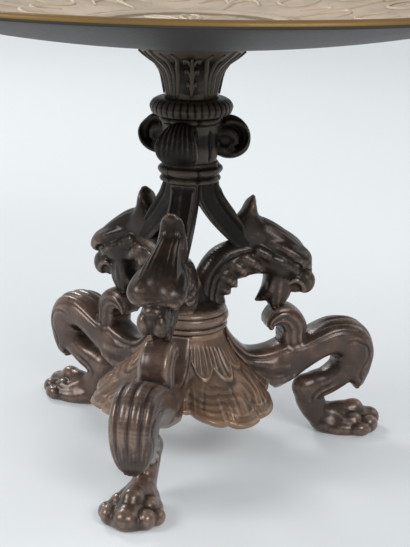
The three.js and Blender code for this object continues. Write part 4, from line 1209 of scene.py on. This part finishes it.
        clay.add(Band([(37.2, 75, 5, 5.0, 7.0), (37.0, 70, 4.8, 4.9, 6.0), (36.9, 64, 5.0, 4.4, 5.3),
                       (37, 60.6, 4.2, 3.6, 4.4), (37.3, 58.7, 3.2, 2.9, 3.8)], 2.4, folds), blend=1.6)
        clay.add(Strand([(34.6, 0, 64.6, 3.8), (31.8, 0, 62.4, 2.3), (29.2, 0, 60.9, 0.8)]), blend=1.4)
        clay.add(Strand([(41, 2.8, 67, 1.6), (41.3, 2.8, 63.4, 1.4), (39.6, 2.6, 60.2, 1.1)]), blend=1.2)
        clay.add(Strand([(36.2, 4.4, 74, 1.5), (34.8, 4.2, 70, 1.2), (33.8, 3.6, 66, 1.3),
                         (32.0, 2.0, 62.8, 1.0)]), blend=1.4)

    def model(self) -> Shape:
        """Models the beast."""
        clay = Clay((0.2, 57.6), (55.2, 12.4, 105.6), self.step)
        self.neck(clay)
        self.head(clay)
        self.muzzle(clay)
        self.chin(clay)
        clay.keep(own_third)
        clay.keep(lambda x, y, z: np.where(np.hypot(x, y) < 18, 61.2 - z, -FAR))
        return clay.cast()


@dataclass
class Leg(Sculpted):
    """An S-shaped leg: a tail on the bell, a fluted knee, a scroll under the beast and a paw."""

    name: str = "leg_casting"
    node: str = "leg"
    slot: str = "leg_bronze"
    finish: Bronze = LEG_FINISH
    step: float = 0.42
    bedded: float = 0.8
    bell_reach: float = 39.5
    crown: tuple[float, float] = (17.0, 51.9)

    def thigh(self, clay: Clay) -> None:
        """The thigh and the knee's leaf, fluted on its back and sides."""
        def flutes(share: Array, across: Array, through: Array) -> Array:
            """Three soft flutes on the back that fade above the leaf's tip, and lines along the sides."""
            run = ramp(share, 0.3, 0.46) * (1 - ramp(share, 0.60, 0.78))
            back = ramp(through, 0.25, 0.8) * sum(groove(across, at, 0.11) for at in (-0.52, 0.0, 0.52))
            hatch = 0.12 * np.cos(34 * across) * ramp(through, 0.4, 0.9) * ramp(share, 0.62, 0.72)
            lines = ramp(np.abs(across), 0.55, 0.9) * groove(through, 0.5, 0.08)
            side_run = ramp(share, 0.16, 0.3) * (1 - ramp(share, 0.6, 0.72))
            leaf = ramp(np.abs(across), 0.55, 0.9) * groove(through,
                                                            0.2 + 0.28 * np.sin(22 * (share - 0.5)), 0.07)
            leaf = leaf * ramp(share, 0.42, 0.48) * (1 - ramp(share, 0.74, 0.8))
            return 0.75 * run * back + hatch + 0.2 * side_run * lines + 0.36 * leaf

        clay.add(Band([(30, 30.5, 7.0, 10.0, 7.0), (36, 32.4, 7.2, 10.6, 7.4), (42.5, 35.6, 7.2, 10.2, 8.0),
                       (50, 38.6, 5.8, 8.0, 8.7), (57.2, 41.8, 6.1, 7.3, 9.1), (64, 43.2, 7.3, 7.9, 9.2),
                       (70, 41.3, 8.4, 8.8, 9.1), (73.3, 36, 8.1, 10.2, 8.9), (74.2, 30, 6.3, 9.0, 8.2),
                       (74.4, 25, 4.3, 5.0, 7.2), (74.8, 22.2, 3.0, 3.6, 6.0), (75.0, 20.4, 2.0, 2.2, 4.6),
                       (75.1, 19.4, 1.2, 1.3, 3.0)],
                      2.8, flutes), blend=0.8)
        lappets = (((29, 4.6, 35, 1.8), (35, 5.6, 33.6, 2.6), (41.4, 6.2, 33.4, 1.8)),
                   ((31, 4.8, 28, 2.2), (37.6, 5.8, 27.4, 2.6), (43.6, 6.2, 29.0, 1.6)))
        for lappet in lappets:
            clay.add(Strand(lappet), blend=1.8)

    def scroll(self, clay: Clay) -> None:
        """The tail down the bell and the C-scroll that curls back under the beast's chin."""
        def lines(share: Array, across: Array, through: Array) -> Array:
            """Lines that follow the scroll on its sides, and a shallow channel on its back."""
            side = ramp(np.abs(across), 0.5,
                        0.9) * sum(groove(through, at, 0.13) for at in (0.45, -0.1, -0.6))
            back = ramp(-through, 0.4, 0.9) * ramp(1 - np.abs(across), 0.25, 0.6)
            return 0.3 * side * (1 - ramp(share, 0.86, 0.96)) + 0.4 * back

        def rim(share: Array, across: Array, through: Array) -> Array:
            """The line under the tail's smooth upper edge."""
            return 0.55 * ramp(np.abs(across), 0.5, 0.9) * groove(through, 0.25, 0.2)

        clay.add(Band([(13.9, 51.4, 1.8, 3, 5.8), (15.4, 47, 2.6, 4, 6.2), (18.8, 41.8, 3.3, 5, 6.5),
                       (23.4, 37.4, 3.8, 5, 6.8),
                       (29, 35.8, 4.3, 5, 7.0), (35, 36.2, 4.6, 5, 7.1), (41, 38.8, 4, 5, 7.2)], 2.8, rim),
                 blend=1.0)
        clay.add(Band([(46.6, 36.5, 6.4, 5, 7.4), (45.6, 41, 6.2, 5.4, 7.1), (44.9, 45.5, 6.2, 5.6, 7.0),
                       (44.5, 49.4, 5.8, 6.3, 6.9),
                       (41.8, 53.0, 5.2, 6.0, 6.9), (38.4, 53.8, 4.6, 4.9, 6.8), (35.8, 52.4, 3.3, 3.6, 6.4),
                       (34.8, 50.8, 2.3, 2.5, 5.9), (34.9, 49.4, 1.5, 1.5, 5.0)], 2.8, lines), blend=0.9)

    def shank(self, clay: Clay) -> None:
        """The shank, the hock and the ankle."""
        def leaf(share: Array, across: Array, through: Array) -> Array:
            """The curled lines at the hock."""
            side = ramp(np.abs(across), 0.5, 0.9) * ramp(share, 0.18, 0.3) * (1 - ramp(share, 0.5, 0.62))
            return 0.5 * side * (groove(through, 0.5, 0.14) + groove(through, 0.0, 0.14))

        clay.add(Band([(71, 32.5, 7.2, 5.2, 7.4), (67.2, 27.4, 6.7, 4.9, 6.8), (62, 23.2, 5.9, 5.3, 5.9),
                       (56.8, 20.4, 5.6, 6.6, 5.2),
                       (54.2, 16.8, 5.8, 6.2, 4.6), (55.6, 12.4, 5.9, 5.9, 4.2), (58.4, 8.4, 5.2, 5.7, 4.4),
                       (62, 5.6, 5.2, 5.2, 5.4), (66, 4.4, 4.8, 4.4, 6.6)], 2.6, leaf), blend=1.4)
        clay.add(Ball((51.4, 0, 20.8), (5.0, 4.9, 5.2), -30), blend=1.6)
        clay.cut(Ball((63.6, 0, 14.6), (3.0, 1.3, 3.4), 30), blend=0.7)

    def paw(self, clay: Clay) -> None:
        """The paw: a low foot with a ridge and sinews down to five merged toes."""
        clay.add(Ball((71.6, 0, 2.6), (13.6, 10.7, 5.4)), blend=2.2)
        clay.add(Ball((62, 0, 3.8), (6.6, 6.8, 4.6)), blend=1.4)
        clay.add(Strand([(62.4, 0, 8.2, 3.8), (66.6, 0, 8.5, 4.0), (71.6, 0, 8.0, 4.2), (78, 0, 5.4, 4.0)]),
                 blend=2.6)
        for across in (3.4, 6.2):
            clay.add(Strand([(64.5, across * 0.45, 8.8, 1.5),
                             (69.6 - across * 0.2, across * 0.95, 8.3 - across * 0.3, 1.7),
                             (75.6 - across * 0.5, across * 1.2, 5.4, 1.8)]), blend=1.6)
        knuckles = (((74.4, 0, 9.3), (4.2, 4.0, 3.6)), ((72.2, 6.2, 6.4), (3.2, 2.4, 2.6)))
        for centre, radii in knuckles:
            clay.add(Ball(centre, radii), blend=1.4)
        toes = (((82.0, 0, 4.2), (4.4, 4.7, 4.2)), ((79.2, 7.3, 3.8), (3.9, 3.2, 3.8)),
                ((74.6, 10.4, 2.9), (4.0, 2.4, 2.9)))
        for centre, radii in toes:
            clay.add(Ball(centre, radii), blend=1.4)

    def model(self) -> Shape:
        """Models the leg."""
        clay = Clay((10, -1.2), (86.6, 13.4, 59.2), self.step)
        self.thigh(clay)
        self.scroll(clay)
        self.shank(clay)
        self.paw(clay)
        bell = LeafBell()

        def above_bell(x: Array, y: Array, z: Array) -> Array:
            """Below 0 above the bell's wall, which the leg is bedded in."""
            r = np.hypot(x, y)
            inside = bell.height_at(r) - self.bedded - z
            return np.where(r < self.bell_reach, inside, -FAR)

        clay.keep(above_bell)
        clay.keep(lambda x, y, z: np.maximum(-z,
                                             np.where(x < self.crown[0], z - self.crown[1], -FAR)) + 0 * y)
        shape = clay.cast()
        shape.points[:, 2] = np.maximum(shape.points[:, 2], 0)
        return shape


@dataclass
class LeafBell:
    """The bell of acanthus leaves between the legs: a thick crown and a thin scalloped skirt."""

    run: Stations = ((15.2, 52.0), (16.2, 48.4), (17.9, 44.6), (21.8, 38.8), (28.2, 32.2), (35.0, 26.0),
                     (40.2, 20.0))
    hub: Stations = ((14.4, 52.4), (15.6, 52.6), (16.2, 53.3), (16.1, 54.2), (15.5, 54.8), (16.3, 55.6),
                     (16.7, 57), (16.4, 58.4), (15.6, 59.0), (15.9, 59.5), (15.7, 60.2), (14.9, 61.0),
                     (12.4, 62.4), (9.6, 64.4), (7.4, 68.0), (5.4, 72.0), (3.0, 74.6))
    columns: int = 65
    rows: int = 60
    wall: float = 1.7
    lobes: tuple[float, ...] = (-60, -42, -17, 8, 37, 60)
    tongues: float = 4.5
    sunk: float = 0.9
    full: float = 0.985
    lobe_notch: float = 0.045
    leg_notch: float = 0.26

    def height_at(self, radius: Array) -> Array:
        """The height of the bell's smooth outline at a radius."""
        rows = smooth_run(self.run)
        return np.interp(radius, rows[:, 0], rows[:, 1])

    def relief(self, angle: Array, share: Array) -> Array:
        """How far the leaves stand out, in millimetres.

        Args:
            angle: Degrees from the middle of a skirt lobe, up to 60 either side.
            share: 0 at the hub and 1 at the edge.

        Returns:
            The height over the smooth outline.
        """
        place, beside = self.in_lobe(angle)
        open_leaf = ramp(share, 0.42, 0.6)
        leaf = 0.4 * (1 - beside**3) * ramp(share, 0.45, 0.85)
        warp = angle + 5 * np.sin(7 * share + 0.09 * angle)
        swell = 0.4 * np.sin(warp * 0.13 + 5.0 * share) * np.sin(warp * 0.05 + 9.0 * share + 1.0)
        curls = 0.14 * np.sin(0.55 * warp + 9 * np.sin(6 * share + 0.05 * angle)) * (1 - ramp(share, 0.84,
                                                                                              0.94))
        midrib = 0.22 * groove(place, 0.3 * np.sin(5 * share), 0.09) * (1 - ramp(share, 0.84, 0.95))
        edge_line = groove(share, 0.88 - 0.04 * beside**2, 0.012)
        contour = 0.24 * (groove(beside, 0.74, 0.06) * ramp(share, 0.6, 0.8) + edge_line)
        rim = 0.34 * groove(share, 0.972, 0.016)
        field = open_leaf * (leaf + swell - midrib + curls + contour + rim)
        fan = angle / 60 * self.tongues / 2
        middle = (fan - np.round(fan)) * 2
        reach = 0.49 - 0.12 * np.abs(middle) ** 2.4 - 0.05 * (angle / 40) ** 2
        reach = reach + 0.02 * np.sin(0.2 * angle + 1)
        on_tongue = 1 - ramp(share, reach - 0.012, reach + 0.012)
        deep = (0.15 + 0.85 * groove(angle, -6.0, 26.0)) * ramp(share, 0.08, 0.2)
        ribs = 0.34 * deep * np.cos(13 * middle * (1 - 0.45 * share) + 4.0 * share)
        hem = 0.24 * groove(share, reach - 0.028, 0.013)
        tongue = 0.36 * ramp(share, 0.02, 0.3) + ribs * (1 - ramp(share, reach - 0.09, reach - 0.04)) + hem
        return on_tongue * tongue + (1 - on_tongue) * field

    def in_lobe(self, angle: Array) -> tuple[Array, Array]:
        """Where an angle lies in its lobe, from -1 to 1, and how near it is to a gap, from 0 to 1."""
        fan = np.interp(angle, self.lobes, np.arange(len(self.lobes)))
        place = (fan - np.clip(np.floor(fan), 0, len(self.lobes) - 2)) * 2 - 1
        return place, np.abs(place)

    def skirt(self) -> Shape:
        """Models one third of the skirt: an outer face, an inner face and a closed edge."""
        angles = np.linspace(-60, 60, 3 * self.columns + 1)
        share = np.linspace(0, 1, self.rows)
        rows = smooth_run(self.run, 10)
        length = np.concatenate(([0], np.cumsum(np.hypot(*np.diff(rows, axis=0).T))))
        a, s = np.meshgrid(angles, share, indexing="ij")
        _, scallop = self.in_lobe(a)
        near_leg = (1 - np.cos(np.radians(3 * a))) / 2
        span = self.full - self.lobe_notch * scallop**2.6 - self.leg_notch * near_leg**1.3
        r = np.interp(s * span * length[-1], length, rows[:, 0])
        z = np.interp(s * span * length[-1], length, rows[:, 1])
        dr, dz = np.gradient(r, axis=1), np.gradient(z, axis=1)
        size = np.hypot(dr, dz)
        out_r, out_z = -dz / size, dr / size
        lift = self.relief(a, s) - self.sunk
        wave = 0.5 * np.cos(math.pi * scallop) * s**4
        faces = []
        points = []
        n, m = a.shape
        for side, depth in ((0, lift + wave), (1, wave - self.sunk - self.wall - 1.2 * (1 - s))):
            rr, zz = r + out_r * depth, z + out_z * depth
            t = np.radians(a + 60 - 90)
            points.append(np.column_stack(((rr * np.cos(t)).ravel(), (rr * np.sin(t)).ravel(), zz.ravel())))
            i, j = np.meshgrid(np.arange(n - 1), np.arange(m - 1), indexing="ij")
            base = (i * m + j).ravel() + side * n * m
            quad = np.column_stack((base, base + 1, base + m + 1, base + m))
            faces.append(quad if side == 0 else quad[:, ::-1])
        for j, flip in ((0, False), (m - 1, True)):
            base = np.arange(n - 1) * m + j
            quad = np.column_stack((base, base + m, base + m + n * m, base + n * m))
            faces.append(quad[:, ::-1] if flip else quad)
        return Shape(np.vstack(points), np.vstack(faces))

    def build(self, shop: Workshop) -> None:
        """Joins the three skirts to the crown and its screw bosses."""
        third = self.skirt()
        whole = third.with_shape(third.turned(120)).with_shape(third.turned(240))
        skirt = shop.mesh("bell.skirt", whole)
        weld(skirt)
        crown = [(0, 45.6, 0), (14.0, 45.6, 0), (14.6, 47, 0), (14.6, 51.6, 0), (14.2, 52, 0), (0, 52, 0)]
        crown = shop.turned("bell.crown", crown, BELL_FINISH, 72)
        boss = shop.mesh("bell.boss", tube(Vector((19.6, 0, 31.5)), Vector((27.0, 0, 31.5)),
                                           (4.2, 4.6, 4.6, 4.2), 24))
        bosses = shop.through("copies", "bell.bosses", boss, BELL_FINISH, Copies=3, First=math.radians(30))
        shop.piece("leaf_skirt", [skirt, crown, bosses], BELL_FINISH, "bell_bronze", "leaf_bell")
        rows = [(r, z, 0) for r, z in smooth_run(self.hub, 4)]
        ring = shop.turned("hub", [(0, 52.4, 0), *rows, (0, 75.2, 0)], BEAST_HALF_SHADED_FINISH, 96)
        shop.piece("hub_moulding", [ring], BEAST_HALF_SHADED_FINISH, "beast_bronze", "hub_ring")


def weld(mesh: bpy.types.Mesh) -> None:
    """Merges the points that neighbouring parts of a mesh share."""
    held = bmesh.new()
    held.from_mesh(mesh)
    bmesh.ops.remove_doubles(held, verts=held.verts, dist=1e-6)
    held.to_mesh(mesh)
    held.free()


def tube(start: Vector, end: Vector, radii: Sequence[float], sides: int) -> Shape:
    """Makes a closed round bar.

    Args:
        start: The middle of its first end.
        end: The middle of its last end.
        radii: Its radius at even places along it.
        sides: The faces round it.

    Returns:
        The bar, whose ends close in a point each.
    """
    axis = (end - start).normalized()
    u = axis.orthogonal().normalized()
    v = axis.cross(u)
    places = [0, *np.linspace(0, 1, len(radii)), 1]
    points = []
    for share, radius in zip(places, (0, *radii, 0)):
        for k in range(sides):
            a = 2 * math.pi * k / sides
            points.append(start.lerp(end, share) + radius * (math.cos(a) * u + math.sin(a) * v))
    faces = []
    for i in range(len(places) - 1):
        for k in range(sides):
            nxt = (k + 1) % sides
            faces.append((i * sides + k, i * sides + nxt, (i + 1) * sides + nxt, (i + 1) * sides + k))
    return Shape(np.array(points), np.array(faces))


# The studio


@dataclass
class Studio:
    """The pale table, the soft lamps and the camera."""

    eye: tuple[float, float, float] = (0.137482, -0.511297, 0.235022)
    pitch: float = 16.927
    roll: float = 1.22
    heading: float = 14.329
    lens: float = 90.222
    pale: tuple[float, float, float] = (0.752, 0.786, 0.806)
    glow: float = 0.17
    sky: float = 0.55
    mirrored_sky: float = 0.08
    aim: tuple[float, float, float] = (0.0, 0.0, 0.08)
    lamps: tuple = (("lamp_left", (-1.0, -0.75, 0.9), 0.6, 10.2),
                    ("lamp_right", (0.85, -0.95, 0.9), 0.6, 9.4),
                    ("lamp_back_left", (-0.85, 0.8, 1.0), 0.35, 6.5),
                    ("lamp_back_right", (1.0, 0.75, 0.95), 0.8, 2.6))

    def camera(self) -> None:
        """Sets the camera at the photograph's place."""
        p = math.radians(self.pitch)
        turn = Matrix.Rotation(math.radians(self.heading), 3, "Z")
        forward = turn @ Vector((0, math.cos(p), -math.sin(p)))
        right = turn @ Vector((1, 0, 0))
        up = right.cross(forward)
        r = math.radians(self.roll)
        across = math.cos(r) * right + math.sin(r) * up
        over = math.cos(r) * up - math.sin(r) * right
        basis = Matrix((across, over, -forward)).transposed().to_4x4()
        data = bpy.data.cameras.new("camera")
        data.sensor_fit = "VERTICAL"
        data.sensor_height = 36
        data.lens = self.lens
        data.clip_start = 0.01
        made = bpy.data.objects.new("camera", data)
        made.matrix_world = Matrix.Translation(self.eye) @ basis
        bpy.context.scene.collection.objects.link(made)
        bpy.context.scene.camera = made

    def table(self) -> None:
        """Lays a pale table that curves up into a backdrop behind the bowl."""
        profile = [(0, 0), (0.5, 0), (1.2, 0), (1.6, 0.04), (1.95, 0.18), (2.15, 0.45), (2.2, 0.9),
                   (2.2, 1.4)]
        sides = 64
        angles = np.linspace(0, 2 * math.pi, sides, endpoint=False)
        behind = ramp(np.cos(angles - math.radians(90 + self.heading)), 0.0, 0.45)
        points = [(r * math.cos(a), r * math.sin(a), z * rise) for r, z in profile for a,
                  rise in zip(angles, behind)]
        faces = [(i * sides + k, i * sides + (k + 1) % sides, (i + 1) * sides + (k + 1) % sides,
                  (i + 1) * sides + k)
                 for i in range(len(profile) - 1) for k in range(sides)]
        mesh = bpy.data.meshes.new("table")
        mesh.from_pydata(points, [], [face[::-1] for face in faces])
        weld(mesh)
        mesh.polygons.foreach_set("use_smooth", np.ones(len(mesh.polygons), bool))
        material = bpy.data.materials.new("table_paper")
        material.use_nodes = True
        tree = material.node_tree
        shader = tree.nodes["Principled BSDF"]
        where = node(tree, "ShaderNodeTexCoord", "Object")
        grain = node(tree, "ShaderNodeTexNoise", 0, Vector=where, Scale=3.0, Detail=2.0)
        tone = tree.nodes.new("ShaderNodeMix")
        tone.data_type = "RGBA"
        feed(tree, tone.inputs[0], grain)
        lit = 1 - self.glow
        tone.inputs[6].default_value = (*(c * lit for c in self.pale), 1)
        tone.inputs[7].default_value = (*(c * lit * 1.02 for c in self.pale), 1)
        tree.links.new(tone.outputs[2], shader.inputs["Base Color"])
        seen = node(tree, "ShaderNodeLightPath", "Is Camera Ray")
        mirrored = node(tree, "ShaderNodeLightPath", "Is Glossy Ray")
        through = node(tree, "ShaderNodeLightPath", "Is Transmission Ray")
        shader.inputs["Emission Color"].default_value = (*self.pale, 1)
        feed(tree, shader.inputs["Emission Strength"],
             (seen + mirrored + through).maths("MINIMUM", 1.0) * self.glow)
        shader.inputs["Roughness"].default_value = 0.7
        shader.inputs["Specular IOR Level"].default_value = 0.1
        mesh.materials.append(material)
        made = bpy.data.objects.new("table", mesh)
        bpy.context.scene.collection.objects.link(made)

    def light(self) -> None:
        """Hangs the soft lamps and sets the pale surroundings."""
        for name, place, size, power in self.lamps:
            data = bpy.data.lights.new(name, "AREA")
            data.shape = "SQUARE"
            data.size = size
            data.energy = power
            made = bpy.data.objects.new(name, data)
            made.location = place
            made.rotation_euler = (Vector(self.aim) - Vector(place)).to_track_quat("-Z", "Y").to_euler()
            bpy.context.scene.collection.objects.link(made)
        world = bpy.data.worlds.new("surroundings")
        bpy.context.scene.world = world
        world.use_nodes = True
        sky = world.node_tree.nodes["Background"]
        sky.inputs[0].default_value = (1.0, 1.0, 1.0, 1)
        mirrored = node(world.node_tree, "ShaderNodeLightPath", "Is Glossy Ray")
        feed(world.node_tree, sky.inputs[1], mirrored * (self.mirrored_sky - self.sky) + self.sky)

    def build(self) -> None:
        """Sets up the whole studio."""
        self.camera()
        self.table()
        self.light()
        bpy.context.scene.view_settings.view_transform = "Standard"


def dress_fixings(frame: dict, shop: Workshop) -> None:
    """Gives the CAD fixings that stay in view their steel."""
    for name, held in frame["nodes"].items():
        if name in ("stud", "tie_bolt", "washer") or name.startswith(("leg_screw", "strut_pin", "neck_pin")):
            held.data.materials.clear()
            held.data.materials.append(shop.material(Steel()))


def main() -> None:
    """Builds the bowl round the frame."""
    logging.basicConfig(level=logging.INFO, format="%(name)s %(message)s")
    for unused in list(bpy.data.objects):
        bpy.data.objects.remove(unused)
    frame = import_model()
    Studio().build()
    shop = Workshop()
    for casting in (Dish(), Stem(), Volute(), Strut(), Beast(), Leg(), LeafBell()):
        casting.build(shop)
    dress_fixings(frame, shop)


if __name__ == "__main__":
    main()
